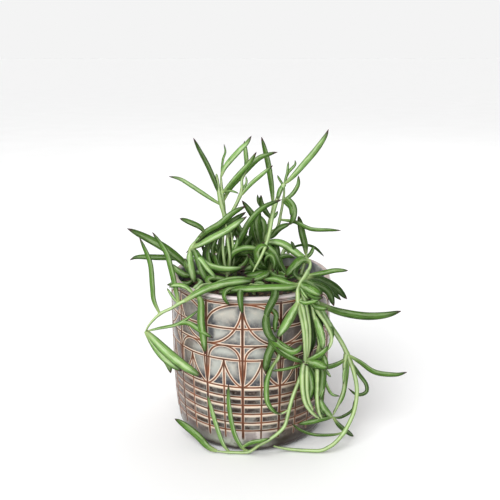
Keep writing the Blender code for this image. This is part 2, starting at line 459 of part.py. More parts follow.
def make_soil(home, cutters, material):
    """The soil: a turned disc with a crumbly top and a hole for each stem."""
    radius = INNER_RADIUS - SOIL_GAP
    top = SOIL_HEIGHT
    profile = [(0.0, top), (0.011, top), (0.022, top), (0.032, top), (0.042, top), (radius, top - 0.001)]
    profile += [(radius, 0.0125), (INNER_RADIUS - 0.0056, POT_FLOOR + SOIL_GAP), (0.0, POT_FLOOR + SOIL_GAP)]
    mesh = bpy.data.meshes.new("soil")
    mesh.from_pydata([(r, 0.0, z) for r, z in profile], [(i, i + 1) for i in range(len(profile) - 1)], [])
    soil = object_from("soil", mesh, home, material)
    screw = soil.modifiers.new("Screw", "SCREW")
    screw.axis = "Z"
    screw.steps = 32
    screw.render_steps = screw.steps
    screw.use_merge_vertices = True
    screw.merge_threshold = 0.00005
    turned = evaluated_mesh(soil, home)
    soil.modifiers.clear()
    soil.data = turned
    random = np.random.default_rng(11)
    for vertex in soil.data.vertices:
        if vertex.co.z > top - 0.0005:
            vertex.co.z -= random.uniform(0.0, 0.0016)
    for name, (root, strands) in {**STEMS, **BACK_STEMS}.items():
        thick = 0.5 * strands[0][1] * BOARD_SQUARE * 1.15
        bpy.ops.mesh.primitive_cylinder_add(vertices=8, radius=thick + 0.0006, depth=2 * HOLE_DEPTH + 0.0006)
        cutter = bpy.context.object
        cutter.name = "hole_" + name
        cutter.location = (root[0] * 0.001, root[1] * 0.001, SOIL_HEIGHT)
        cutter.hide_render = True
        cutter.display_type = "WIRE"
        for old in list(cutter.users_collection):
            old.objects.unlink(cutter)
        cutters.objects.link(cutter)
    holes = soil.modifiers.new("Holes", "BOOLEAN")
    holes.operation = "DIFFERENCE"
    holes.operand_type = "COLLECTION"
    holes.collection = cutters
    soil.data.set_sharp_from_angle(angle=math.radians(40))
    return soil


def main():
    clear_scene()
    home = new_collection("potted_string_of_fishhooks")
    cutters = new_collection("cutters", hidden=True)
    work = new_collection("strands")
    glaze = make_material("glazed_stoneware", (0.36, 0.38, 0.38), 0.25)
    earth = make_material("potting_soil", (0.045, 0.028, 0.02), 0.95)
    green = make_material("succulent_green", (0.11, 0.30, 0.07), 0.45)
    make_pot(home, glaze)
    make_soil(home, cutters, earth)
    for name, (root, strands) in STEMS.items():
        make_stem(name, root, strands, True, home, work, green)
    for name, (root, strands) in BACK_STEMS.items():
        make_stem(name, root, strands, False, home, work, green)
    bpy.data.collections.remove(work)


main()
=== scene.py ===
"""Potted string of fishhooks: the tiled glaze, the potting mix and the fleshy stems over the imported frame."""

import json
import math
from types import SimpleNamespace

import bmesh
import bpy
import numpy as np
from bpy.props import FloatProperty, FloatVectorProperty, IntProperty, PointerProperty
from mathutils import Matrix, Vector, noise

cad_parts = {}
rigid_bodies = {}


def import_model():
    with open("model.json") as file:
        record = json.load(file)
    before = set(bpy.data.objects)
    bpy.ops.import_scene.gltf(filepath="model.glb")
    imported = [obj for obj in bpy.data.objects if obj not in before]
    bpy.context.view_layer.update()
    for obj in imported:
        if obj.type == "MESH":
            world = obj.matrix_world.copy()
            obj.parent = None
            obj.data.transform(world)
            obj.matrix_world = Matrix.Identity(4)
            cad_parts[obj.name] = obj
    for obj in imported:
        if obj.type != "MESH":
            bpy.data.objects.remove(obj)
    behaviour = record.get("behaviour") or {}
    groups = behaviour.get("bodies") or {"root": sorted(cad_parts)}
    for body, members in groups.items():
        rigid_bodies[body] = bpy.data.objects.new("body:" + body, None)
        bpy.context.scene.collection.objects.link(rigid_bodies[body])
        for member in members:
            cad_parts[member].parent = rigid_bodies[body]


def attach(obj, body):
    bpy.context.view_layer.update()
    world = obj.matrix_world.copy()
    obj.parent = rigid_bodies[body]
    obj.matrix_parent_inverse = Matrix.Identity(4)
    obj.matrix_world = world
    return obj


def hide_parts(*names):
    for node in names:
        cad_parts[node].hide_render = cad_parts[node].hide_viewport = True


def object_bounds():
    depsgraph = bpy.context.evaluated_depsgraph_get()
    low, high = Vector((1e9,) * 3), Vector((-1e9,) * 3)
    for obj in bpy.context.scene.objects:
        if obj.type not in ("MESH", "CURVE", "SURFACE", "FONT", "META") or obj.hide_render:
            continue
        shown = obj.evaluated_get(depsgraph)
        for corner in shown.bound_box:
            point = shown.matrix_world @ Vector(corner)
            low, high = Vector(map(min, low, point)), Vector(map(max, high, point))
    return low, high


bl_info = {
    "name": "Potted String of Fishhooks",
    "version": (1, 0, 0),
    "blender": (4, 5, 0),
    "location": "3D View > Sidebar > Fishhooks",
    "description": "Builds a trailing succulent in a glazed pot with a raised tile pattern",
    "category": "Add Mesh",
}

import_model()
CAD_LOW, CAD_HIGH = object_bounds()

# Sizes of the pot, in metres
POT_HEIGHT = 0.112
RIM_RADIUS = 0.0555
INNER_RADIUS = 0.0508
POT_FLOOR = 0.006
LIP_DEPTH = 0.0024
LIP_SQUARENESS = 0.8
RIDGE = 0.0006
RIDGE_HALF_WIDTH = 0.0009
TILE_SWELL = 0.0032
ROW_SPACING = 0.00056
PANELS = 14
PANEL_TURN = math.radians(-5.6)
BODY_HEIGHTS = (0.0, 0.001, 0.003, 0.006, 0.014, 0.025, 0.040, 0.075, 0.100, 0.112)
BODY_RADII = (0.0477, 0.0503, 0.0517, 0.0525, 0.0534, 0.0544, 0.0551, 0.0557, 0.0556, 0.0553)
RING_HEIGHTS = (0.1077, 0.0910, 0.0791, 0.0692, 0.0500, 0.0430, 0.0370, 0.0303, 0.0236, 0.0175)
TOP_RING, LEG_RING, LAST_RING = RING_HEIGHTS[0], RING_HEIGHTS[4], RING_HEIGHTS[9]
THIN_RIB_TOP = RING_HEIGHTS[3]
RIB_FOOT = 0.0110
PLAIN_FOOT = 0.006
FOOT_RADII = (0.0470, 0.0440)
UNDERSIDE_RADIUS = 0.0430
UNDERSIDE_RISE = 0.0006
NECK_HEIGHT = 0.1100
GROOVE_HEIGHTS = (0.1099, 0.1088)

# The numbers that a place on the wall keeps: how far it is from each kind of line. Where there are no
# lines they are all the far gap. The last is how much further than the other lines the brown of a bold
# rib reaches to each side, in millimetres, as the glaze reads them.
LINE_GAPS = ("ring_gap", "rib_gap", "bold_gap", "curve_one", "curve_two")
FAR_GAP = 0.01
BOLD_EXTRA = 0.32

# Heights between which one finish of the pot gives way to the next, and those between which the one thick
# streak of glaze begins, with its place across the front
NECK_EDGE = (0.1084, 0.1092)
LIP_EDGE = (0.1106, 0.1112)
FOOT_EDGE = (0.0085, 0.0125)
STREAK_EDGE = (0.076, 0.086)
STREAK_PLACE = -0.0258

# The soil
SOIL_HEIGHT = 0.1040
SOIL_GAP = 0.0003
SOIL_COLUMNS = 128
SOIL_RINGS = 34
HOLE_DEPTH = 0.0060

# The radius of a chip of bark, how far it may tilt and turn, and the seeds of its shape, of where the
# chips lie and of their sizes
CHIP_SIZE = 0.001
CHIP_TILT = 0.7
CHIP_TURN = 6.283
CHIP_SHAPE_SEED = 6
CHIP_SEED = 4
CHIP_SIZE_SEED = 5

# The drawing board on which the plant is planned: it faces an eye in front of the pot and a little above
# it, and is ruled in squares of 0.7 mm round a centre on the pot's axis.
BOARD_SQUARE = 0.0007
BOARD_HEIGHT = 0.1278
EYE_DISTANCE = 0.4815
EYE_TILT = math.radians(15.887)
EYE = Vector((0.0, -EYE_DISTANCE * math.cos(EYE_TILT), BOARD_HEIGHT + EYE_DISTANCE * math.sin(EYE_TILT)))

# A stem leaves the soil straight up as far as its collar, and is swollen round each place where
# something leaves it. The curve between two points of a plan has this many steps.
COLLAR_RISE = 0.0015
NODE_REACH = 0.0021
PATH_STEPS = 16

# Floor, camera and lights
FLOOR_REACH = 40.0
FLOOR_DROP = 0.0002
SENSOR_WIDTH = 36.0
PHOTO_WIDTH = 500.0
LENS_IN_PIXELS = 688.7
CAMERA_SHIFT = -0.00186
LIGHT_AIM = Vector((0.0, 0.0, 0.09))

# Each leafy stem: its place in the soil in millimetres (to the right, to the back), then its strands.
# A strand is its kind, its width in squares, and its points from the base to the tip: squares to the
# right, squares up, and millimetres from the pot's axis toward the viewer. A number after the points
# is how light its green is, from 0 deep to 1 light; the deep end partly stands as painted shade.
STEMS = {
    "stem_tall_left": ((-12, 18), (
        ("stem", 4.5, ((-18, -5, -16), (-25, 25, -14), (-27, 40, -12), (-29, 60, -10), (-30, 74, -8))),
        ("stem", 4.0, ((-25, 27, -14), (-21, 34, -10), (-14, 47, -6), (-9, 60, -3), (-9, 70, -2),
                       (-5, 78, -2))),
        ("leaf", 5.0, ((-30, 50, -10), (-33, 60, -9), (-42, 82, -5), (-52, 101, -2),
                       (-57.5, 112, 0)), 0.25),
        ("leaf", 4.5, ((-28, 44, -11), (-41, 52, -7), (-60, 64.5, -1), (-71, 71, 2), (-82, 73.5, 5)), 1.0),
        ("leaf", 2.4, ((-30, 73, -8), (-28, 90, -9), (-25.5, 98, -10), (-27, 106, -11))),
        ("leaf", 5.6, ((-30, 73, -8), (-25, 84, -5), (-11, 100, 0), (-4, 107, 2), (0.5, 114, 4)), 0.95),
        ("leaf", 5.6, ((-29, 56, -10), (-14, 73, -2), (-3, 85, 3), (2, 92, 5), (5.5, 98, 7)), 0.6),
        ("leaf", 6.0, ((-28, 48, -11), (-22, 60, -12), (-11, 73, -11), (7, 91, -9), (21, 96.5, -7),
                       (26.5, 97.7, -6)), 0.6),
        ("leaf", 2.4, ((-29, 58, -10), (-20, 59, -5), (-12, 56.5, 0))),
        ("leaf", 4.6, ((-6, 76, -2), (-4.5, 87, -1), (-5, 95, 0), (-6.5, 109, 2)), 0.75),
        ("leaf", 2.4, ((-9, 60, -3), (-4.5, 67, 2), (-5, 74, 5))),
        ("leaf", 4.4, ((-11, 53, -4), (-1, 65, 2), (11, 75.5, 7), (22, 84.5, 11)), 0.8),
    )),
    "stem_tall_middle": ((4, 28), (
        ("stem", 4.0, ((10, 5, -26), (16, 20, -24), (21, 38, -22), (22, 48, -21))),
        ("leaf", 5.8, ((22, 46, -21), (21, 60, -20), (18, 82, -18), (14.5, 98, -16),
                       (10.5, 113, -14)), 0.5),
        ("leaf", 5.6, ((19.5, 32, -22.5), (13, 41, -17), (10, 48, -14), (10, 55, -12)), 0.3),
        ("leaf", 3.2, ((15, 38, -18), (8, 47, -16), (6.5, 55.5, -15))),
        ("leaf", 6.6, ((12, 8, -26), (8, 25, -21), (1, 36, -16), (-9, 49.5, -12)), 0.45),
        ("leaf", 8.4, ((10, 5, -26), (8, 18, -21), (6.5, 29, -18), (9, 39, -15)), 0.6),
        ("leaf", 3.2, ((19, 30, -22), (24, 34, -19), (27, 39, -17))),
    )),
    "stem_tall_right": ((12, 20), (
        ("stem", 3.6, ((15, 12, -18), (26, 22, -15), (30, 37, -13), (33, 55, -11), (33, 67, -10))),
        ("leaf", 6.4, ((33, 66, -10), (41, 72.5, -8), (53, 86, -4), (65, 100, 0), (74, 113, 4),
                       (77.5, 120.5, 6)), 0.85),
        ("leaf", 3.2, ((33, 66, -10), (37, 77, -13), (44, 85, -15), (44, 90, -16))),
        ("leaf", 2.6, ((33, 66, -10), (36, 76, -8), (37.5, 88.5, -6))),
        ("leaf", 2.6, ((33, 64, -10), (28.5, 70.5, -7), (26.3, 75, -6))),
        ("leaf", 4.4, ((33, 50, -11), (41, 55.5, -6), (47, 65, -3), (47.5, 74.5, -1)), 0.65),
        ("leaf", 4.4, ((33, 66, -10), (29, 60, -7), (26, 51, -5))),
        ("leaf", 6.0, ((32, 49, -12), (36, 47, -8), (40.5, 42, -5), (40.5, 33, -4)), 0.4),
        ("leaf", 4.2, ((28, 30.5, -14), (44, 28, -9), (60, 21, -6), (79, 20, -2), (90, 19.5, 0)), 0.4),
        ("leaf", 6.4, ((17, 12, -18), (22, 15, -13), (29, 22, -9), (39.5, 26.5, -7)), 0.3),
    )),
    "stem_upright_right": ((37, 17), (
        ("stem", 4.0, ((54.5, -10, -17), (55.5, -3, -16.5))),
        ("leaf", 7.0, ((55, -4, -17), (54, 5, -16), (51.5, 15, -15), (49.5, 25, -15),
                       (47.5, 34, -14)), 0.35),
        ("leaf", 4.0, ((54.5, -9, -17), (60, -3, -20), (63, 4, -24))),
    )),
    "stem_left": ((-38, 3), (
        ("stem", 4.6, ((-57, -31, 0), (-60, -15, -1), (-61.5, -6, -2), (-60, 2, -3), (-54, 10, -4))),
        ("leaf", 6.8, ((-57, 6, -3), (-46, 17, -4), (-31, 26, -3), (-18, 37, -2), (-5, 44, -2)), 0.4),
        ("leaf", 7.4, ((-60, 1, -3), (-44, 9, 2), (-25, 19, 4), (-10, 29.5, 4), (-4, 33.5, 4)), 0.9),
        ("leaf", 5.6, ((-46, 17, -4), (-51, 23, -1), (-64, 29, 2), (-71, 31.5, 4)), 0.4),
        ("leaf", 3.2, ((-56, 7.5, -4), (-53, 11, 2), (-50, 14, 4))),
        ("leaf", 8.4, ((-59, -22, 0), (-68, -12, 3), (-83, 0, 7), (-99, 9.5, 9), (-116, 18, 11),
                       (-123.5, 21.5, 12)), 0.4),
        ("leaf", 6.0, ((-60, -16, -1), (-73, -8.5, 0), (-94, -7.3, -1), (-113, -7, -1),
                       (-121, -10, -1)), 0.35),
        ("leaf", 5.0, ((-58, -27, 0), (-64, -17, 6), (-66, -8, 8))),
        ("leaf", 6.6, ((-60, -2, -2), (-55, -3, 5), (-46, -13, 10), (-31, -18.5, 13), (-15, -18.5, 14),
                       (-6, -16, 14)), 0.8),
        ("leaf", 5.2, ((-59, -8, -1), (-51, -9, 11), (-43, -19, 16), (-37, -26, 17), (-33, -32, 17)), 0.95),
        ("leaf", 7.6, ((-60, 1, -2), (-61, -9, 4), (-59, -21, 8), (-56, -34, 10)), 0.95),
    )),
    "tuft_inner_left": ((-17, 4), (
        ("stem", 3.4, ((-24, -24, -4), (-26, -16, -5))),
        ("leaf", 4.4, ((-25, -20, -4), (-32, -10, -4), (-30, 3, -6), (-28, 14, -8))),
        ("leaf", 4.4, ((-25, -20, -4), (-27, -10, -7), (-24, 2, -8), (-24, 15, -8))),
        ("leaf", 4.2, ((-24, -22, -4), (-20, -11, -3), (-18, 0, -2), (-21, 13, -2))),
        ("leaf", 4.6, ((-25, -24, -4), (-38, -18, -2), (-43, -4, -4), (-39, 9, -6))),
        ("leaf", 6.4, ((-24, -22, -4), (-16, -5, -4), (-9, 14, -4), (0, 30, -2), (13, 43, 1),
                       (31, 50.5, 4)), 0.4),
        ("leaf", 5.4, ((-24, -22, -4), (-20, -8, 0), (-14, 6, 2), (-13, 15, 0))),
        ("leaf", 6.2, ((-23, -22, -4), (-13, -9, -9), (-8, 1, -14), (-9, 9, -17))),
        ("leaf", 4.6, ((-25, -22, -4), (-33, -15, 1), (-37, -3, 2))),
        ("leaf", 5.0, ((-23, -23, -4), (-12, -18, 0), (-5, -12, 4), (-2, -4, 6))),
    )),
    "tuft_inner_right": ((15, -2), (
        ("stem", 3.4, ((20, -26, 3), (17, -16, 4))),
        ("leaf", 4.4, ((17, -17, 4), (11, -8, 5), (15, 7, 5))),
        ("leaf", 3.6, ((18, -20, 4), (6, -14, 4), (5, -4, 1), (10, 4, -2))),
        ("leaf", 5.8, ((18, -18, 4), (18, -1, 5), (26, -7, 8), (32, -18, 11), (38, -27, 13))),
        ("leaf", 5.4, ((17, -16, 4), (14, -4, 10), (19, -6, 14), (24, -14, 17), (27, -24, 18))),
        ("leaf", 5.0, ((18, -20, 4), (27, -9, 0), (36, -6, -4), (44, -8, -6))),
        ("leaf", 4.6, ((17, -20, 4), (8, -20, 10), (1, -14, 14), (-2, -6, 15))),
        ("leaf", 4.6, ((18, -19, 4), (22, -8, -2), (23, -1, -8), (27, 3, -12))),
        ("leaf", 5.2, ((17, -16, 4), (8, -3, -1), (-4, -0.5, -6), (-13, -1, -9)), 0.8),
    )),
    "stem_front": ((2, -22), (
        ("stem", 4.0, ((3, -40, 28), (0, -36, 33))),
        ("leaf", 6.2, ((1, -37, 32), (6, -34, 35), (11, -34, 39), (15, -35, 41))),
        ("leaf", 7.4, ((0, -36, 33), (-9, -38.5, 43), (-20, -40.5, 46), (-29, -42, 49), (-34, -42.5, 50))),
        ("leaf", 5.4, ((0, -36, 33), (-13, -38, 42), (-24, -40, 51), (-27, -46, 57.5), (-24, -52, 59),
                       (-20, -56, 58.5))),
        ("leaf", 7.0, ((0, -36, 33), (-8, -38, 44), (-10.5, -43, 55), (-10.5, -51, 61), (-9.5, -58, 61.5),
                       (-8, -65, 61)), 0.3),
        ("stem", 5.0, ((0, -36, 33), (12, -37, 42), (22, -40, 50), (24, -45, 58), (20, -54, 61.5),
                       (16, -63, 62), (15, -73, 61.5), (20, -85, 60), (27, -91, 59))),
        ("leaf", 8.4, ((12, -37, 42), (22, -40, 50), (24, -45, 58), (20, -54, 62), (16, -63, 62.5),
                       (15, -73, 61.5)), 0.2),
        ("leaf", 4.4, ((20, -85, 60), (31, -94, 57.5), (43, -100.5, 56), (48, -99, 56), (51, -94.5, 56))),
        ("leaf", 5.2, ((19, -57, 61), (25, -64, 59), (24, -74, 59), (24, -83, 58.5))),
        ("leaf", 7.4, ((19, -83, 60), (22, -93, 58.5), (18, -104, 58.5), (14.5, -124, 58.5)), 0.25),
        ("stem", 3.2, ((26, -90, 59), (28, -100, 56), (27, -108, 56.5), (20, -119, 58.5), (16, -131, 59),
                       (15.5, -143, 59), (17, -153, 59), (24, -162, 59.5), (31, -163, 59.5),
                       (38, -159, 59))),
    )),
    "stem_left_trailing": ((-22, -12), (
        ("stem", 4.0, ((-36, -35, 20), (-46, -35, 34), (-51.5, -37.5, 43), (-56, -43, 48),
                       (-61, -48, 48.5), (-71, -53, 45.5), (-79, -58, 41), (-91, -64, 35),
                       (-101, -74, 28), (-105.5, -82, 22))),
        ("leaf", 7.4, ((-40, -35.5, 27), (-28, -35, 30.5), (-14, -32, 28), (4, -28.5, 24)), 0.5),
        ("leaf", 4.8, ((-38, -35, 24), (-29, -31, 22), (-17, -28.5, 18), (-1, -28, 15))),
        ("leaf", 5.6, ((-72, -53, 45), (-75, -40, 38), (-80, -18, 32), (-85, -2, 27),
                       (-98.5, 18, 21)), 0.5),
        ("leaf", 5.2, ((-91, -64, 35), (-97, -50, 26), (-98.5, -35, 22), (-101, -12, 18),
                       (-111.5, 13, 15)), 0.5),
        ("leaf", 3.0, ((-73, -53, 45), (-78, -47, 41), (-84, -38, 37))),
        ("leaf", 3.4, ((-104, -81, 23), (-91, -78, 32), (-76, -75, 42), (-66, -70, 47), (-56, -63, 51),
                       (-49, -57, 52))),
        ("leaf", 8.4, ((-105, -82, 22), (-91, -100, 27), (-83, -112, 31), (-80, -123, 34)), 0.9),
        ("leaf", 10.0, ((-105, -81, 22), (-86, -100, 34), (-69, -114, 43), (-49, -127, 50)), 0.88),
        ("leaf", 5.2, ((-76, -75, 42), (-63, -73, 49), (-50, -81, 54), (-38, -88, 56)), 0.65),
        ("leaf", 7.8, ((-55, -42, 47), (-50, -52, 53.5), (-50, -70, 53.5), (-48, -85, 53.5),
                       (-45.5, -104, 53)), 0.55),
        ("leaf", 5.0, ((-57, -44, 48), (-65, -37, 44), (-74, -35, 39), (-82, -37, 35))),
    )),
    "stem_trailing_front": ((30, -18), (
        ("stem", 4.6, ((56, -22, 20), (55, -26, 30), (49, -35, 41), (47, -40, 46.5), (47, -46, 50),
                       (48, -58, 50.5), (51, -70, 50.5), (53, -82, 50.5), (54, -97, 50), (54, -113, 50),
                       (49, -128, 51), (42, -146, 53), (38, -160, 54), (34, -175, 55.5), (27, -183, 57),
                       (18, -189.5, 58.5), (8, -195, 58.5), (0, -200.5, 55.5), (-8, -202.2, 54.1),
                       (-17, -202, 54.1), (-26, -201.7, 53.9), (-36, -200.6, 52.7))),
        ("leaf", 7.0, ((-34, -200.8, 53), (-43, -196.5, 51.5), (-54, -185, 46), (-69, -173, 38),
                       (-76, -168.5, 34)), 0.5),
        ("leaf", 4.4, ((-21, -201.9, 54), (-27, -195, 57), (-33, -180, 57), (-39, -160, 55),
                       (-44, -143, 53)), 0.9),
        ("leaf", 4.8, ((-2, -201, 55), (-9, -197, 58), (-17, -182, 60), (-22, -155, 59.5),
                       (-22.5, -133, 58.5)), 0.7),
        ("leaf", 4.2, ((-9, -197, 58), (0, -192.5, 62), (10, -190.5, 63.5), (19, -188, 64)), 0.6),
        ("stem", 4.6, ((50, -36, 41), (52, -44, 48), (56, -62, 48.5), (58.5, -80, 48.5), (58, -98, 48.5),
                       (55, -112, 49.5))),
        ("leaf", 6.2, ((49, -35, 41), (39, -34, 40), (25, -29.5, 35), (12, -29.5, 29))),
        ("leaf", 6.2, ((49, -35, 41), (43, -38, 45), (35, -39, 48), (28, -39.5, 50))),
        ("leaf", 2.6, ((55, -25, 27), (45, -26, 28), (37, -29, 31))),
        ("leaf", 9.0, ((58, -12, 14), (50, -10, 18), (42, -18, 22), (34, -27, 24)), 0.4),
        ("leaf", 5.2, ((55, -26, 29), (69, -23.5, 29), (84, -20.5, 27), (97, -20.5, 24)), 0.45),
        ("leaf", 7.8, ((54, -28, 32), (69, -29.5, 34), (84, -37, 37), (96, -49, 38)), 0.05),
        ("leaf", 6.6, ((53, -30, 35), (66, -32.5, 42), (78, -39, 44), (90, -50, 47)), 0.05),
        ("leaf", 8.4, ((51, -33, 38), (64, -34, 48), (77, -41, 50), (83, -56, 51)), 0.1),
        ("leaf", 10.0, ((50, -35, 41), (56, -38, 48), (64, -42, 53), (71, -46, 56)), 0.5),
        ("leaf", 3.4, ((49, -36, 42), (53, -44, 52), (58, -50, 55))),
        ("leaf", 4.4, ((47, -50, 50), (55, -53, 56), (69, -50, 60))),
        ("leaf", 5.8, ((48, -57, 50), (42, -66, 54), (36, -76, 56), (28, -86, 56)), 0.8),
        ("leaf", 7.8, ((59, -12, 14), (49, -5.5, 8), (34, 5, 0), (24, 8, -3), (11, 7, -8)), 0.8),
        ("leaf", 3.4, ((44, -1.5, 5), (42, 5, 5), (40, 9, 5))),
        ("stem", 4.2, ((55, -26, 29), (56, -23, 24), (59, -17, 17), (59, -11, 13))),
        ("leaf", 5.4, ((55, -110, 50), (62, -108, 52), (72, -102, 54), (78, -95, 55)), 0.6),
        ("leaf", 6.0, ((55, -112, 50), (62, -112, 50), (69, -107, 49.5), (74, -102, 49.5)), 0.5),
        ("leaf", 5.0, ((54, -113, 50), (53, -128, 53), (54, -145, 53), (58, -158, 53), (64, -164, 53))),
        ("leaf", 3.2, ((54, -113, 50), (57.5, -125, 49.5), (57, -148, 50))),
        ("leaf", 3.2, ((54, -112, 50), (50, -121, 55), (50, -136, 55.5))),
        ("leaf", 6.0, ((55, -112, 50), (60, -124, 48), (60.5, -138, 48), (60, -150, 48))),
        ("leaf", 4.2, ((54, -113, 50), (45, -109, 56), (34, -103, 61), (25, -97, 63))),
        ("leaf", 3.2, ((54, -113, 50), (46, -116, 54.5), (34, -119, 60), (20, -121, 64))),
    )),
    "stem_trailing_right": ((37, -14), (
        ("stem", 4.0, ((60, -33, 25), (62, -32.5, 33), (64, -37, 39.5), (63, -44, 43.5), (61, -54, 45),
                       (63, -66, 45), (66, -80, 45), (69, -96, 45), (71, -112, 45), (71, -124, 45),
                       (67, -138, 46), (65.5, -150, 46.5), (66, -160, 47), (72, -166, 44.5),
                       (82, -167, 40))),
        ("stem", 4.8, ((63, -43, 43), (66, -56, 42), (72, -66, 39.5), (79, -75, 36.5), (86, -85, 33),
                       (92, -95, 30), (97, -106, 28), (102, -119, 28), (105.5, -135, 30),
                       (105.5, -147, 33), (103, -161, 38), (98, -173, 43), (92, -183.5, 48),
                       (84, -192.5, 52), (77, -197.3, 53.5), (69, -200.4, 53), (55, -200.2, 52.5),
                       (45, -199.6, 52), (36, -198.6, 52.2), (29, -197.4, 54), (23, -196, 56.5))),
        ("leaf", 8.0, ((64, -51, 43), (79, -58.5, 42), (94, -63, 39), (115, -66, 34), (134, -65, 30),
                       (150, -61, 25)), 0.35),
        ("leaf", 6.0, ((61, -53, 45), (66, -57, 50), (77, -59, 53))),
        ("leaf", 7.6, ((63, -65, 45), (68, -78, 46), (71, -90, 47), (71, -100, 48))),
        ("leaf", 4.4, ((78, -74, 37), (81, -83, 41), (79, -94, 44))),
        ("leaf", 3.4, ((71, -115, 45), (76, -122, 43), (80, -127, 42))),
        ("leaf", 3.6, ((71, -118, 45), (73, -132, 49), (69, -150, 52.5))),
        ("leaf", 3.6, ((71, -121, 45), (76, -136, 42), (81, -144, 39), (89, -146, 37.5))),
        ("leaf", 5.2, ((96, -104, 28), (109, -112, 31), (124, -122, 32), (144, -124.5, 28),
                       (156, -122, 25)), 0.4),
        ("leaf", 5.2, ((97, -107, 28), (88, -113, 34), (78, -116.5, 43), (66, -117, 53),
                       (53, -114, 59)), 0.5),
        ("leaf", 3.6, ((98, -109, 28), (95.5, -128, 29), (92, -146, 31), (87, -155, 32), (82, -162, 32))),
        ("leaf", 3.0, ((97, -110, 28), (93, -122, 33), (92.5, -134, 34))),
        ("leaf", 4.0, ((99, -110, 28), (108, -124, 23), (115, -134, 21), (115, -142, 22),
                       (106, -144.5, 23.5), (97, -138, 22)), 0.3),
        ("leaf", 7.2, ((81, -167, 40), (75, -161, 46), (70.5, -154, 50.5), (68.5, -146, 52))),
        ("leaf", 5.0, ((81, -167, 40), (71, -169, 47.5), (59, -172, 51), (46, -174, 52.5)), 0.45),
        ("leaf", 3.0, ((82, -167, 40), (90, -167, 34), (101, -160, 27), (103, -150, 25)), 0.2),
        ("leaf", 5.0, ((82, -167, 40), (88, -175, 41.5), (98, -183, 37), (102.5, -186, 34)), 0.2),
        ("leaf", 3.2, ((93, -182, 47), (82, -184.5, 51), (64, -184.5, 56), (50, -180, 58),
                       (39, -172, 59.5)), 0.3),
    )),
}

# Stems behind the plant, in millimetres: to the right, to the back, up
BACK_STEMS = {
    "stem_back_left": ((-16, 33), (
        ("stem", 2.6, ((-18, 38, 112), (-23, 47, 116.5), (-27, 56, 112), (-29, 59.5, 99), (-28, 60.5, 80),
                       (-24, 62, 62))),
        ("leaf", 4.4, ((-19, 41, 114), (-30, 45, 119), (-41, 49, 118), (-51, 54, 110))),
        ("leaf", 4.2, ((-22, 45, 116), (-14, 55, 119), (-8, 66, 115))),
        ("leaf", 4.4, ((-28, 58, 107), (-38, 62, 98), (-45, 62, 84))),
        ("leaf", 4.6, ((-29, 60, 96), (-20, 65, 86), (-13, 66, 72))),
        ("leaf", 4.0, ((-28, 60.5, 82), (-35, 65, 72), (-38, 67, 58))),
        ("leaf", 3.8, ((-25, 61.5, 66), (-22, 65, 52), (-24, 66, 38))),
    )),
    "stem_back_right": ((22, 34), (
        ("stem", 2.6, ((24, 40, 113), (27, 48, 116.5), (29, 55, 112), (29, 58.5, 98), (25, 61, 78),
                       (22, 62, 50), (24, 62, 34))),
        ("leaf", 4.4, ((25, 42, 114), (37, 44, 119), (48, 47, 117), (57, 51, 108))),
        ("leaf", 4.2, ((27, 47, 116), (17, 56, 119), (10, 66, 113))),
        ("leaf", 4.4, ((29, 57, 105), (40, 59, 98), (49, 60, 84))),
        ("leaf", 4.6, ((28, 59.5, 92), (16, 64, 84), (7, 66, 72))),
        ("leaf", 4.0, ((25, 61, 78), (35, 66, 68), (40, 68, 54))),
        ("leaf", 4.0, ((22, 62, 56), (12, 66, 46), (8, 68, 32))),
        ("leaf", 3.8, ((24, 62, 38), (30, 65, 26), (31, 66, 12))),
    )),
}

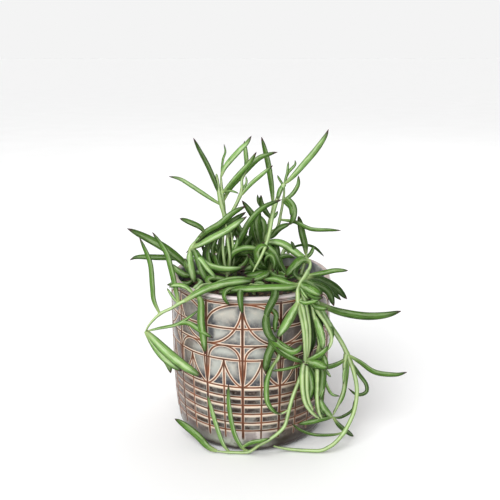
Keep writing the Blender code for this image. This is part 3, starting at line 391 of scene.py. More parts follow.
# Strands that only thicken the look of a stem, planned as above
EXTRA_STRANDS = {
    "stem_tall_left": (
        ("stem", 4.8, ((-25.5, 32, -11), (-30, 48, -10), (-32.3, 60, -9.5), (-34.5, 76, -8.5))),
    ),
    "stem_tall_right": (
        ("stem", 4.4, ((33, 66, -10), (29, 58, -8), (25, 47, -7), (21.5, 34, -6), (19, 20, -3),
                       (16, 8, 5), (12, -3, 12), (7, -13, 15), (2, -22, 16))),
        ("leaf", 7.0, ((32, 50, -12), (37, 50, -8), (42.5, 42, -5), (42, 31, -5), (38, 25, -6)), 0.4),
    ),
    "stem_tall_middle": (
        ("leaf", 7.4, ((8, 4, -27), (4, 14, -24), (3, 26, -20), (9, 38, -17)), 0.7),
        ("leaf", 5.6, ((10, 5, -26), (13, 16, -22), (13, 27, -19), (7, 36, -17)), 0.8),
        ("leaf", 6.0, ((8, 4, -26), (-3, 10, -28), (-12, 22, -26), (-16, 34, -24)), 0.7),
    ),
    "tuft_inner_left": (
        ("stem", 3.2, ((-24, -24, -4), (-15, -20, -11), (-6, -15, -18))),
        ("leaf", 5.0, ((-25, -21, -4), (-30, -9, -8), (-31, 4, -12), (-29, 14, -14), (-25, 23, -14))),
        ("leaf", 5.2, ((-24, -22, -4), (-23, -9, -10), (-22, 3, -14), (-19, 14, -16), (-14, 25, -16))),
        ("leaf", 6.2, ((-20, -22, -7), (-17, -10, -14), (-14, 2, -18), (-9, 12, -20), (-3, 19, -20))),
        ("leaf", 6.4, ((-10, -17, -15), (-11, -6, -20), (-6, 5, -22), (0, 13, -24), (6, 21, -24))),
        ("leaf", 4.6, ((-26, -20, -4), (-35, -12, -12), (-38, 0, -16), (-35, 10, -18), (-30, 18, -18))),
        ("leaf", 5.2, ((-26, -22, -4), (-40, -20, -10), (-46, -8, -14), (-44, 3, -16), (-36, 12, -18))),
        ("leaf", 6.2, ((-6, -15, -18), (-2, -7, -22), (1, 5, -26), (0, 15, -28), (-1, 22, -28))),
        ("leaf", 6.2, ((-6, -15, -18), (4, -8, -24), (7, 3, -28), (7, 13, -30), (4, 25, -30))),
        ("leaf", 6.4, ((-24, -20, -4), (-18, -4, 2), (-8, 1.5, 4), (4, 1.5, 4), (13, -2, 3))),
        ("leaf", 5.4, ((-6, -15, -18), (-14, -8, -12), (-10, -4.5, -8), (-2, -6, -6), (5, -11, -6))),
        ("leaf", 7.0, ((-6, -15, -18), (-20, -8, -24), (-34, 2, -26), (-44, 12, -24))),
        ("leaf", 7.0, ((-6, -15, -18), (-17, -4, -26), (-22, 8, -28), (-19, 20, -26))),
        ("leaf", 7.0, ((-6, -15, -18), (-28, -14, -22), (-41, -6, -24), (-50, 5, -22))),
        ("leaf", 7.4, ((-6, -15, -18), (2, -4, -30), (-5, 10, -32), (-11, 23, -30))),
        ("leaf", 6.4, ((-6, -14, -18), (-8, 2, -24), (-14, 16, -26), (-22, 26, -26))),
        ("stem", 3.6, ((-24, -23, -4), (-27, -8, 0), (-28, 8, -2), (-27, 22, -6))),
        ("stem", 3.6, ((-22, -23, -4), (-21, -8, 3), (-23, 8, 2), (-25, 26, -3))),
        ("stem", 3.2, ((-20, -22, -5), (-17, -8, 0), (-18, 5, 1), (-20, 18, -2))),
    ),
    "tuft_inner_right": (
        ("leaf", 7.4, ((17, -17, 4), (10, -6, 6), (14, 3, 6), (22, -2, 8), (28, -14, 10), (31, -24, 10))),
        ("leaf", 7.0, ((18, -20, 4), (9, -12, 10), (6, -2, 10), (11, 4, 9), (19, 1, 8))),
        ("leaf", 6.6, ((19, -22, 4), (10, -23, 12), (1, -25, 16), (-6, -26, 17))),
        ("leaf", 5.6, ((18, -20, 4), (8, -20, 4), (0, -21, 2), (-8, -24, 2))),
        ("leaf", 6.4, ((18, -18, 4), (25, -10, 0), (26, 0, -4), (22, 6, -8), (14, 8, -12))),
        ("leaf", 6.0, ((19, -24, 3), (27, -22, 8), (34, -24, 12), (40, -29, 15))),
        ("leaf", 5.4, ((18, -20, 4), (15, -10, 12), (20, -5, 16), (24, -12, 18), (22, -22, 19))),
        ("leaf", 7.0, ((18, -20, 4), (12, -16, 8), (2, -17, 11), (-8, -21, 12))),
        ("leaf", 7.4, ((18, -21, 4), (14, -25, 14), (4, -29, 20), (-6, -29, 21))),
        ("leaf", 7.0, ((19, -21, 4), (24, -26, 14), (33, -28, 20), (42, -27, 22))),
        ("leaf", 8.0, ((15, -17, 3), (12, -6, 0), (4, -0.5, 0), (-6, -1, 1), (-15, -4, 2)), 0.75),
    ),
    "stem_left": (
        ("leaf", 7.4, ((-60, 1, -3), (-55, -3, 6), (-51, -14, 12), (-47, -25, 16), (-40, -35, 18))),
        ("leaf", 6.8, ((-58, -25, 0), (-66, -25, 4), (-74, -20, 5), (-79, -14, 4))),
        ("leaf", 5.4, ((-57, -30, 0), (-64, -34, 8), (-73, -33, 10), (-84, -35, 10))),
        ("leaf", 6.4, ((-58, -24, 0), (-50, -22, 6), (-42, -27, 12), (-34, -33, 16))),
        ("leaf", 6.0, ((-57, -28, 0), (-50, -32, 12), (-55, -38, 22), (-66, -46, 30))),
        ("leaf", 7.0, ((-58, 4, -4), (-45, 13.5, -6), (-28, 22.5, -7), (-13, 32.5, -7), (-5, 38, -7))),
    ),
    "stem_left_trailing": (
        ("leaf", 8.0, ((-66, -50.5, 48), (-54, -43.5, 51), (-42, -38, 48), (-26, -34, 44),
                       (-8, -31.5, 40), (4, -31, 37)), 0.75),
        ("leaf", 6.6, ((-38, -35, 24), (-44, -31, 22), (-40, -28, 18), (-28, -29, 14), (-18, -31, 12))),
        ("leaf", 8.6, ((-105, -81.5, 22), (-91, -102, 31), (-80, -113, 38), (-69, -121, 43)), 0.82),
    ),
    "stem_trailing_front": (
        ("leaf", 7.4, ((49, -35, 41), (38, -37, 50), (22, -37.5, 53), (4, -38.5, 53), (-12, -39.5, 51),
                       (-24, -40.5, 48)), 0.6),
        ("leaf", 9.0, ((50, -33, 38), (58, -33.5, 46), (66, -39, 50), (71, -47, 51)), 0.2),
        ("leaf", 8.0, ((50, -36, 42), (57, -42, 50), (64, -46, 53), (72, -48, 53)), 0.45),
        ("leaf", 6.4, ((52, -31, 34), (44, -24, 26), (48, -14, 20), (54, -6, 14))),
        ("stem", 4.6, ((49, -48, 50), (52.5, -62, 50.5), (55.5, -80, 50.5), (56, -97, 50),
                       (54.5, -112, 50))),
        ("stem", 4.0, ((54, -113, 50), (53, -128, 51), (53, -143, 52), (55, -154, 52), (60, -161, 52),
                       (68, -168, 50))),
        ("leaf", 9.0, ((55, -111, 50), (62, -112.5, 53), (70, -115, 54), (77, -118, 54))),
        ("leaf", 7.0, ((54, -113, 50), (58, -122, 51), (60, -136, 51), (58, -150, 52))),
        ("leaf", 7.0, ((56, -113, 50), (62, -124, 49), (65, -138, 48), (65, -152, 48))),
        ("leaf", 8.4, ((47, -52, 51), (41, -63, 55), (34, -75, 57.5), (26, -88, 58.5)), 0.8),
        ("stem", 5.2, ((53, -112, 52), (51.5, -119, 56), (51, -128, 57.5), (51.5, -140, 57.5),
                       (54, -152, 56.5), (59, -160, 54.5), (66, -167, 51))),
        ("stem", 5.0, ((55, -112, 50), (55.5, -118, 54), (55.5, -129, 56), (56, -142, 56), (58, -152, 55),
                       (62, -160, 53.5))),
        ("stem", 4.8, ((58, -112, 50), (65, -116, 51), (66, -124, 52), (66, -136, 52), (66, -150, 52),
                       (68, -162, 50.5), (71, -168, 47))),
        ("leaf", 8.0, ((60, -112, 50), (71, -118, 49), (71.5, -130, 49.5), (69, -145, 50), (70, -158, 49),
                       (75, -166, 46)), 0.3),
        # These three leaves hang in the deepest green as painted shade beside the pot's shaded right side
        ("leaf", 7.4, ((52, -42, 45), (58, -56, 44), (62, -72, 42), (62, -90, 42), (59, -104, 44)), 0.05),
        ("leaf", 7.0, ((54, -40, 44), (62, -52, 42), (68, -66, 38), (69, -82, 37), (66, -96, 39)), 0.1),
        ("leaf", 6.6, ((55, -111, 48), (63, -118, 46), (67, -130, 45), (66, -146, 46)), 0.1),
    ),
    "stem_trailing_right": (
        ("stem", 4.4, ((63, -50, 44.5), (66, -60, 46), (74, -72, 45), (80, -85, 44), (79, -95, 46),
                       (71, -103, 49), (59, -109, 50.5))),
        ("leaf", 7.0, ((71, -103, 49), (73, -109, 50), (74, -115, 51), (73, -121, 51))),
        ("leaf", 7.6, ((63, -42, 43), (68, -57, 42.5), (75, -70, 39.5), (83, -82, 36)), 0.85),
        ("stem", 4.2, ((95, -104, 29), (93.5, -114, 30.5), (93.5, -128, 30.5), (92.5, -140, 31),
                       (88, -152, 33), (82, -165, 37))),
        ("leaf", 6.2, ((68, -95, 46), (66, -110, 47), (64, -124, 48), (66, -138, 48), (72, -148, 46)), 0.2),
    ),
    "stem_front": (
        ("leaf", 7.0, ((14, -72, 61.5), (19, -86, 61), (29, -97, 59.5), (40, -102, 58), (48, -99, 58),
                       (52, -92, 57.5)), 0.6),
        ("leaf", 6.6, ((16, -78, 61.5), (21, -92, 60.5), (32, -103, 59), (44, -109, 57.5),
                       (54, -112, 55)), 0.35),
        ("leaf", 8.6, ((17, -60, 62), (15, -72, 62.5), (18, -84, 62), (26, -92, 61)), 0.25),
        ("leaf", 5.4, ((27, -108, 57), (20, -119, 59.5), (16, -131, 60), (15.5, -143, 60), (17, -153, 60),
                       (24, -162, 60.5), (31, -163, 60.5))),
        ("leaf", 8.6, ((19, -84, 60), (21, -95, 60), (17, -106, 60), (14, -122, 60)), 0.25),
    ),
}

# How light the leaves of each stem are, from 0 deep to 1 light, and those of a stem that isn't named. The deep
# end is partly painted shade: the inner tufts and the leaves under others are kept darker.
# A leaf or branch without a number of its own gets one between the two, drawn with this seed.
TONE_SEED = 23
OTHER_TONES = (0.3, 0.8)
STEM_TONES = {
    "tuft_inner_left": (0.05, 0.65),
    "tuft_inner_right": (0.12, 0.68),
    "stem_tall_left": (0.5, 1.0),
    "stem_tall_middle": (0.35, 0.85),
    "stem_tall_right": (0.5, 1.0),
    "stem_left": (0.35, 1.0),
    "stem_front": (0.15, 0.75),
    "stem_left_trailing": (0.4, 1.0),
    "stem_trailing_front": (0.05, 0.85),
    "stem_trailing_right": (0.4, 1.0),
}

# Fullness of a leaf and of a stem along its length
LEAF_OUTLINE = ((0.0, 0.42), (0.11, 0.68), (0.28, 0.92), (0.47, 1.0), (0.67, 0.95), (0.83, 0.76),
                (0.93, 0.48), (1.0, 0.06))
STEM_OUTLINE = ((0.0, 1.0), (0.5, 0.88), (0.8, 0.74), (0.93, 0.58), (1.0, 0.30))


# Helpers for node trees

class Bench:
    """A node tree in the making: each call adds one node and joins it to what it is given."""

    def __init__(self, tree):
        self.tree = tree

    def new(self, kind):
        """A bare node, set down after the last one in rows of twelve."""
        row, column = divmod(len(self.tree.nodes), 12)
        node = self.tree.nodes.new(kind)
        node.location = (220 * column, -260 * row)
        return node

    def fill(self, socket, value):
        """Joins a socket to another one, or sets its value."""
        if value is None:
            return
        if isinstance(value, bpy.types.NodeSocket):
            self.tree.links.new(value, socket)
        elif socket.type == "RGBA" and len(value) == 3:
            socket.default_value = (*value, 1.0)
        else:
            socket.default_value = value

    def outputs(self, kind, *values, **settings):
        """Adds a node, sets its own settings, fills its inputs in order, and gives its outputs."""
        node = self.new(kind)
        for key, value in settings.items():
            setattr(node, key, value)
        for socket, value in zip([s for s in node.inputs if s.enabled], values):
            self.fill(socket, value)
        return [s for s in node.outputs if s.enabled]

    def put(self, kind, *values, **settings):
        """The same, for a node of which only the first output is wanted."""
        return self.outputs(kind, *values, **settings)[0]

    def math(self, operation, *values):
        """A number worked out from others by a math node."""
        return self.put("ShaderNodeMath", *values, operation=operation)

    def in_turn(self, operation, values):
        """One number from two or more, worked through from the first."""
        result = values[0]
        for value in values[1:]:
            result = self.math(operation, result, value)
        return result

    def times(self, *values):
        """The values multiplied."""
        return self.in_turn("MULTIPLY", values)

    def most(self, *values):
        """The largest of the values."""
        return self.in_turn("MAXIMUM", values)

    def least(self, *values):
        """The smallest of the values."""
        return self.in_turn("MINIMUM", values)

    def unsigned(self, value):
        """The value without its sign."""
        return self.math("ABSOLUTE", value)

    def scaled(self, value, factor, shift):
        """The value times the factor, plus the shift."""
        return self.math("MULTIPLY_ADD", value, factor, shift)

    def step(self, value, start, end, low=0.0, high=1.0):
        """Goes smoothly from low to high as the value goes from start to end."""
        return self.put("ShaderNodeMapRange", value, start, end, low, high, interpolation_type="SMOOTHSTEP")

    def colour(self, factor, first, second):
        """Goes from the first colour to the second as the factor goes from 0 to 1."""
        return self.put("ShaderNodeMix", factor, first, second, data_type="RGBA")

    def own_place(self):
        """The piece's own coordinates."""
        return self.new("ShaderNodeTexCoord").outputs["Object"]

    def grain(self, scale, detail=3.0, roughness=0.5, place=None):
        """Noise on the piece's own coordinates, or on the place that is given."""
        return self.put("ShaderNodeTexNoise", place or self.own_place(), scale, detail, roughness)

    def attribute(self, name):
        """A number kept on the mesh under this name."""
        node = self.new("ShaderNodeAttribute")
        node.attribute_name = name
        return node.outputs["Fac"]


def new_material(name, **fixed):
    """A material with a shader whose uniform values are set on its own sockets."""
    material = bpy.data.materials.new(name)
    material.use_nodes = True
    shader = material.node_tree.nodes["Principled BSDF"]
    for key, value in fixed.items():
        shader.inputs[key.replace("_", " ")].default_value = value
    return material, shader, Bench(material.node_tree)


def give_finish(bench, shader, colour, roughness, bumps, strength, depth):
    """Joins a finish's colour, roughness and small bumps to its shader."""
    bench.fill(shader.inputs["Base Color"], colour)
    bench.fill(shader.inputs["Roughness"], roughness)
    bench.fill(shader.inputs["Normal"], bench.put("ShaderNodeBump", strength, depth, None, bumps))


def paint(red, green, blue):
    """A colour given in the usual 0 to 255 numbers, as the shader reads it."""
    shares = (c / 255 for c in (red, green, blue))
    return tuple(c / 12.92 if c <= 0.04 else ((c + 0.055) / 1.055) ** 2.4 for c in shares)


def keep_on_points(mesh, key, values, kind="FLOAT"):
    """Keeps a number, or a direction, on every point of a mesh."""
    flat = np.asarray(values, dtype=np.float32).ravel()
    attribute = mesh.attributes.new(key, kind, "POINT")
    attribute.data.foreach_set("vector" if kind == "FLOAT_VECTOR" else "value", flat)


# The pot

def body_radius(height):
    """The radius of the plain wall at this height."""
    return np.interp(height, BODY_HEIGHTS, BODY_RADII)


def oval(x, y, wide, high, power=2.0):
    """Signed distance to an oval round the origin, near enough close to its line."""
    x, y = np.abs(x) / wide, np.abs(y) / high
    size = (x**power + y**power) ** (1 / power) + 1e-9
    slope = np.hypot((x / size) ** (power - 1) / wide, (y / size) ** (power - 1) / high)
    return (size - 1) / np.maximum(slope, 1e-3)


def tile_lines(turn, height):
    """How far each place on the wall is from the lines of the tile pattern, in metres.

    Gives the distance to the rings, to the upright ribs and to the bold ones among them, and a signed
    distance to two sets of curved lines, so that the sign changes on the line itself."""
    width = 2 * math.pi * RIM_RADIUS / PANELS
    place = (turn - PANEL_TURN) / (2 * math.pi / PANELS)
    panel = np.floor(place)
    across = (place - panel) * width
    across = np.where(panel % 2 == 1, across, width - across)
    rings = np.min([np.abs(height - h) for h in RING_HEIGHTS], axis=0)
    bold = np.minimum(across, width - across)
    thin = np.where(height < THIN_RIB_TOP, np.abs(across - width / 2), 1.0)
    low = np.where(height < RIB_FOOT, RIB_FOOT - height, 0.0)
    ribs = np.hypot(np.minimum(bold, thin), low)
    ring_a, ring_b, ring_c, ring_d, ring_e = RING_HEIGHTS[:5]
    first, second = np.full_like(height, FAR_GAP), np.full_like(height, FAR_GAP)
    # The large quarter ovals and the fans inside them
    upper = (height <= ring_a) & (height > ring_c)
    first = np.where(upper, oval(across, height - ring_a, width, ring_a - ring_c), first)
    fan = upper & (height > ring_b)
    second = np.where(fan, oval(across - width, height - ring_b, width, ring_a - ring_b), second)
    # The arches
    side = np.abs(across - width / 2)
    round_top = 0.43 * width
    arch = (height <= ring_c) & (height > ring_d)
    first = np.where(arch, oval(side, height - ring_d, round_top, ring_c - ring_d), first)
    # The legs, which spread from the arches, and the curves that swing round the tops of the bold ribs
    legs = (height <= ring_d) & (height > ring_e)
    drop = np.clip((ring_d - height) / (ring_d - ring_e), 0, 1)
    first = np.where(legs, (side - round_top - (0.5 * width - round_top) * drop**1.6) * 0.98, first)
    swing = oval(0.5 * width - side, ring_d - height, 0.5 * width, ring_d - ring_e, 1.5)
    second = np.where(legs, swing, second)
    return rings, ribs, bold, first, second


def fall_in_row(height):
    """How far down its row of tiles a height is, from 0 just under one ring to 1 at the next."""
    marks = (*RING_HEIGHTS, RIB_FOOT)
    for upper, lower in zip(marks, marks[1:]):
        if lower <= height <= upper:
            return (upper - height) / (upper - lower)
    return 0.5


def turned_rows():
    """The pot's section from the middle of its inner floor over the lip and down to the middle of its foot.

    Each row is its radius (None where it follows the body), its height, and whether the tiles cross it."""
    rows = [(0.0, POT_FLOOR, False), (0.02, POT_FLOOR, False), (INNER_RADIUS - 0.005, POT_FLOOR, False)]
    rows += [(INNER_RADIUS - 0.0015, 0.008, False), (INNER_RADIUS, 0.012, False)]
    rows += [(INNER_RADIUS, z, False) for z in np.linspace(0.02, 0.108, 10)]
    middle = 0.5 * (RIM_RADIUS + INNER_RADIUS)
    half = 0.5 * (RIM_RADIUS - INNER_RADIUS)
    for bend in np.linspace(0.05, 0.95, 11) * math.pi:
        out = -half * math.copysign(abs(math.cos(bend)) ** LIP_SQUARENESS, math.cos(bend))
        height = POT_HEIGHT - LIP_DEPTH + LIP_DEPTH * math.sin(bend) ** LIP_SQUARENESS
        rows.append((middle + out, height, False))
    marks = (NECK_HEIGHT, *RING_HEIGHTS, RIB_FOOT)
    for upper, lower in zip(marks, marks[1:]):
        steps = max(2, round((upper - lower) / ROW_SPACING / 2) * 2)
        rows += [(None, z, True) for z in np.linspace(upper, lower, steps, endpoint=False)]
    rows += [(None, z, True) for z in np.linspace(RIB_FOOT, PLAIN_FOOT, 7, endpoint=False)]
    rows += [(None, z, False) for z in (PLAIN_FOOT, 0.0045, 0.003, 0.0018, 0.0009, 0.0003)]
    rows += [(radius, 0.0, False) for radius in FOOT_RADII]
    rows += [(radius, UNDERSIDE_RISE, False) for radius in (UNDERSIDE_RADIUS, 0.02, 0.0)]
    return rows


def relief(gap, bold, ridge):
    """How far the lines and the swell of the tiles stand out from the plain wall."""
    swell = ridge * np.exp(-((gap / (0.62 * RIDGE_HALF_WIDTH)) ** 2))
    swell += ridge * 0.45 * np.clip(gap / TILE_SWELL, 0, 1) ** 1.3
    swell += 0.25 * ridge * np.exp(-((bold / RIDGE_HALF_WIDTH) ** 2))
    return np.minimum(swell, ridge) - 0.1 * ridge


def pot_mesh(pot):
    """The turned pot with its relief. Its points keep what the glaze goes by, the gaps in millimetres."""
    columns = pot.columns_in_panel * PANELS
    turn = PANEL_TURN + np.arange(columns) * 2 * math.pi / columns
    places, marks = [], {key: [] for key in (*LINE_GAPS, "drop", "reach")}
    for radius, height, tiled in turned_rows():
        heights = np.full(columns, height)
        out = np.full(columns, body_radius(height) if radius is None else radius)
        gaps = tile_lines(turn, heights) if tiled else [np.full(columns, FAR_GAP)] * len(LINE_GAPS)
        if tiled:
            rings, ribs, bold, first, second = gaps
            out += relief(np.min([rings, ribs, np.abs(first), np.abs(second)], axis=0), bold, pot.ridge)
        count = 1 if radius == 0.0 else columns
        places.append(np.column_stack([out * np.sin(turn), -out * np.cos(turn), heights])[:count])
        for key, gap in zip(LINE_GAPS, gaps):
            marks[key].append(gap[:count] * 1000)
        marks["drop"].append(np.full(count, fall_in_row(height) if tiled else 0.0))
        marks["reach"].append(out[:count])
    mesh = mesh_of_rows("glazed_pot", places)
    for key, values in marks.items():
        keep_on_points(mesh, key, np.concatenate(values))
    return mesh


def wall_marks(bench):
    """What the glaze goes by: places on the wall, grains, and how near the lines of the pattern are."""
    across, _, height = bench.outputs("ShaderNodeSeparateXYZ", bench.own_place())
    wall = SimpleNamespace(across=across, height=height, off_centre=bench.unsigned(across))
    wall.wobble = bench.scaled(bench.grain(190.0, 4.0), 0.8, -0.4)
    wall.fine = bench.grain(620.0, 3.0)
    wall.broad = bench.grain(62.0, 4.0, 0.6)
    wall.patch = bench.grain(120.0, 3.0, 0.55)
    wall.drop = bench.attribute("drop")
    # The bold ribs are broader than the other lines, from the top ring down to their foot
    wall.bold_gap = bench.attribute("bold_gap")
    rib_gap = bench.attribute("rib_gap")
    upright = bench.most(*(bench.math("SUBTRACT", gap, BOLD_EXTRA) for gap in (wall.bold_gap, rib_gap)))
    above = bench.step(height, TOP_RING + 0.0004, TOP_RING + 0.0008, 0.0, 5.0)
    upright = bench.math("ADD", upright, above)
    curves = [bench.unsigned(bench.attribute(key)) for key in ("curve_one", "curve_two")]
    nearest = bench.least(bench.attribute("ring_gap"), rib_gap, *curves, upright)
    wall.gap = bench.scaled(wall.wobble, 0.4, nearest)
    wall.line = bench.step(wall.gap, 0.36, 0.85, 1.0, 0.0)
    wall.bold = bench.step(bench.scaled(wall.wobble, 0.5, upright), -0.25, 0.4, 1.0, 0.0)
    # The rows of small tiles
    wall.low = bench.step(height, LEG_RING - 0.0006, LEG_RING + 0.0006, 1.0, 0.0)
    # Painted shade round the foot and the lowest row: darker toward the sides, the most at the right, with dark
    # patches of glaze here and there
    wall.run = bench.most(bench.step(across, 0.004, 0.02, 0.0, 0.95),
                          bench.step(across, -0.01, -0.034, 0.0, 0.75),
                          bench.step(wall.patch, 0.45, 0.62, 0.0, 0.5))
    return wall


def pools(bench, wall):
    """How thick the glaze stands in the tiles, from 0 to 1, with painted shade toward the two sides of the pot.
    """
    # The small tiles pool dark down to their lower edge and stay thin along the upper one
    small = bench.times(bench.step(wall.gap, 0.3, 1.4), bench.step(wall.drop, 0.12, 0.46),
                        bench.step(wall.patch, 0.32, 0.6, 0.6, 1.0))
    # The large tiles pool in their corners, beside the bold ribs and toward their lower edge
    beside = bench.times(bench.step(wall.bold_gap, 6.5, 1.0), bench.step(wall.broad, 0.36, 0.6, 0.2, 1.0))
    sunk = bench.times(bench.step(wall.drop, 0.42, 0.95), bench.step(wall.patch, 0.3, 0.6, 0.45, 1.0))
    corner = bench.times(bench.step(wall.gap, 4.2, 0.6), bench.step(wall.broad, 0.38, 0.62, 0.15, 1.0))
    # Glaze that ran down the legs gathers above the ring under them
    gathered = bench.times(bench.step(wall.height, LEG_RING + 0.014, LEG_RING + 0.004),
                           bench.step(wall.gap, 0.2, 1.4), bench.step(wall.broad, 0.36, 0.58, 0.35, 1.0))
    # One streak of thick glaze ran down beside a bold rib, to the left of the front
    aside = bench.math("SUBTRACT", wall.across, STREAK_PLACE)
    aside = bench.unsigned(bench.scaled(wall.wobble, 0.004, aside))
    streak = bench.times(bench.step(aside, 0.0035, 0.0008, 0.0, 0.85), bench.step(wall.height, *STREAK_EDGE))
    large = bench.most(beside, sunk, corner, gathered, streak)
    pool = bench.put("ShaderNodeMix", wall.low, large, small)
    # Painted shade on the two sides of the pot, in the dark of thick glaze, the most at the right
    thick = bench.times(bench.step(wall.off_centre, 0.024, 0.05),
                        bench.step(wall.patch, 0.36, 0.6, 0.3, 0.85))
    thick = bench.most(thick, bench.step(wall.across, 0.008, 0.026, 0.0, 0.7))
    return bench.most(pool, bench.times(thick, bench.step(wall.gap, 0.2, 1.6, 0.5, 1.0)))


def tile_glaze(bench, wall, pot):
    """The glaze between the lines: thin, pooled, with a painted highlight along the top of a small tile and
    painted shade that browns the two sides of the pot.
    """
    deep = bench.colour(wall.low, pot.blue_pool_colour, pot.pool_colour)
    thin = bench.colour(bench.step(wall.broad, 0.4, 0.65, 0.0, 0.3), pot.glaze_colour, pot.warm_glaze_colour)
    glaze = bench.colour(pools(bench, wall), thin, deep)
    glaze = bench.colour(bench.step(wall.fine, 0.5, 0.75, 0.0, 0.12), glaze, pot.halo_colour)
    # Painted highlight along the top edge of each small tile, where the glaze is also thin
    edge = bench.times(bench.step(wall.drop, 0.42, 0.14), wall.low, 0.85)
    glaze = bench.colour(edge, glaze, pot.halo_colour)
    # Painted shade: the glaze is browned toward both sides of the pot, a little more on the right
    glaze = bench.colour(bench.step(wall.across, 0.012, 0.031, 0.0, 0.52), glaze, pot.line_colour)
    glaze = bench.colour(bench.step(wall.across, -0.026, -0.047, 0.0, 0.5), glaze, pot.line_colour)
    # The lowest row is paler in front, and toward the sides it takes the painted shade of the foot
    lowest = bench.times(bench.step(wall.height, LAST_RING - 0.0008, LAST_RING - 0.0002, 1.0, 0.0),
                         bench.step(wall.off_centre, 0.005, 0.017, 0.85, 0.3))
    return bench.colour(lowest, glaze, bench.colour(wall.run, pot.lip_colour, pot.pool_colour))


def with_lines(bench, wall, pot, glaze):
    """The glaze with the brown lines over it, and the pale halo beside them."""
    halo = bench.step(bench.scaled(wall.low, 0.35, wall.gap), 0.7, 1.35, 0.95, 0.0)
    halo = bench.times(halo, bench.step(bench.times(wall.drop, wall.low), 0.5, 0.85, 1.0, 0.45))
    glaze = bench.colour(halo, glaze, pot.halo_colour)
    brown = bench.colour(bench.step(wall.patch, 0.35, 0.65), pot.line_colour, pot.rust_colour)
    brown = bench.colour(wall.bold, brown, pot.deep_line_colour)
    return bench.colour(wall.line, glaze, brown)


def with_ends(bench, wall, pot, glaze):
    """The glaze with the plain neck, lip, inside and foot, and painted shade on the sides of the lip and of the
    foot and under the foot.
    """
    neck = bench.colour(bench.step(wall.patch, 0.35, 0.62), pot.neck_colour, pot.glaze_colour)
    glaze = bench.colour(bench.step(wall.height, *NECK_EDGE), glaze, neck)
    groove = bench.least(*(bench.unsigned(bench.math("SUBTRACT", wall.height, z)) for z in GROOVE_HEIGHTS))
    glaze = bench.colour(bench.step(groove, 0.0002, 0.0005, 0.75, 0.0), glaze, pot.pool_colour)
    # Painted shade: the lip greys toward the two sides of the pot
    shade = bench.times(bench.step(wall.off_centre, 0.028, 0.052), bench.step(wall.patch, 0.3, 0.6, 0.4, 0.9))
    lip = bench.step(bench.scaled(wall.wobble, 0.0006, wall.height), *LIP_EDGE)
    glaze = bench.colour(lip, glaze, bench.colour(shade, pot.lip_colour, pot.neck_colour))
    inside = bench.colour(bench.step(wall.broad, 0.3, 0.7), pot.inside_colour, pot.glaze_colour)
    within = bench.math("LESS_THAN", bench.attribute("reach"), INNER_RADIUS + 0.0008)
    glaze = bench.colour(within, glaze, inside)
    plain = bench.colour(bench.step(wall.broad, 0.42, 0.66, 0.0, 0.6), pot.foot_colour, pot.pool_colour)
    # Painted shade on the sides of the foot
    plain = bench.colour(wall.run, plain, pot.pool_colour)
    # Painted shade where the foot turns under, over its lowest few millimetres
    under = bench.step(bench.scaled(wall.wobble, 0.004, wall.height), 0.0065, 0.0030)
    plain = bench.colour(under, plain, pot.pool_colour)
    foot = bench.step(bench.scaled(wall.wobble, 0.002, wall.height), *FOOT_EDGE, 1.0, 0.0)
    return bench.colour(foot, glaze, plain)


def glaze_material(pot):
    """Glossy reactive glaze: it breaks rust brown on the raised lines, pale beside them, and pools dark, with
    painted shade on the sides and foot and a painted highlight on the small tiles.
    """
    material, shader, bench = new_material("tile_glaze", Coat_Weight=0.08, Coat_Roughness=0.08,
                                           Specular_IOR_Level=0.25)
    wall = wall_marks(bench)
    glaze = with_lines(bench, wall, pot, tile_glaze(bench, wall, pot))
    ripple = bench.math("ADD", bench.times(wall.broad, 0.5), bench.times(wall.fine, 0.12))
    give_finish(bench, shader, with_ends(bench, wall, pot, glaze),
                bench.step(wall.line, 0.0, 1.0, 0.16, 0.42), ripple, 0.25, 0.0006)
    return material


class FISHHOOKS_OT_pot(bpy.types.Operator):
    """Turn the pot, raise its lines and tiles, and glaze it"""

    bl_idname = "fishhooks.pot"
    bl_label = "Glazed Pot"

    def execute(self, context):
        pot = context.scene.fishhooks_pot
        piece = finished("glazed_pot", pot_mesh(pot), glaze_material(pot))
        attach(piece, "root")
        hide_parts("pot")
        return {"FINISHED"}


def mesh_of_rows(name, rows):
    """A closed mesh from rings of points: a ring of one point is a pole."""
    mesh = bpy.data.meshes.new(name)
    starts = np.cumsum([0] + [len(r) for r in rows])
    faces = []
    for i in range(len(rows) - 1):
        one, two = len(rows[i]), len(rows[i + 1])
        for k in range(max(one, two)):
            a, b = starts[i] + k % one, starts[i] + (k + 1) % one
            c, d = starts[i + 1] + (k + 1) % two, starts[i + 1] + k % two
            faces.append((a, d, c) if one == 1 else (a, d, b) if two == 1 else (a, d, c, b))
    mesh.from_pydata(np.vstack(rows).tolist(), [], faces)
    work = bmesh.new()
    work.from_mesh(mesh)
    bmesh.ops.recalc_face_normals(work, faces=work.faces)
    work.to_mesh(mesh)
    work.free()
    return mesh


def finished(name, mesh, material):
    """An object at the origin with its smooth-shaded mesh and material."""
    mesh.materials.clear()
    mesh.materials.append(material)
    mesh.shade_smooth()
    piece = bpy.data.objects.new(name, mesh)
    bpy.context.scene.collection.objects.link(piece)
    return piece


# Node trees that make shapes

def new_tree(name, **inputs):
    """A geometry tree that takes a geometry and the inputs that are named, with its bench and its inputs."""
    tree = bpy.data.node_groups.new(name, "GeometryNodeTree")
    for label, kind in {"Geometry": "Geometry", **inputs}.items():
        tree.interface.new_socket(label.replace("_", " "), in_out="INPUT", socket_type="NodeSocket" + kind)
    tree.interface.new_socket("Geometry", in_out="OUTPUT", socket_type="NodeSocketGeometry")
    bench = Bench(tree)
    return tree, bench, bench.new("NodeGroupInput").outputs


def close_tree(bench, geometry, material):
    """Ends a geometry tree: makes instances real, gives the material and hands the geometry out."""
    real = bench.put("GeometryNodeRealizeInstances", geometry)
    done = bench.put("GeometryNodeSetMaterial", real, None, material)
    bench.fill(bench.new("NodeGroupOutput").inputs[0], done)


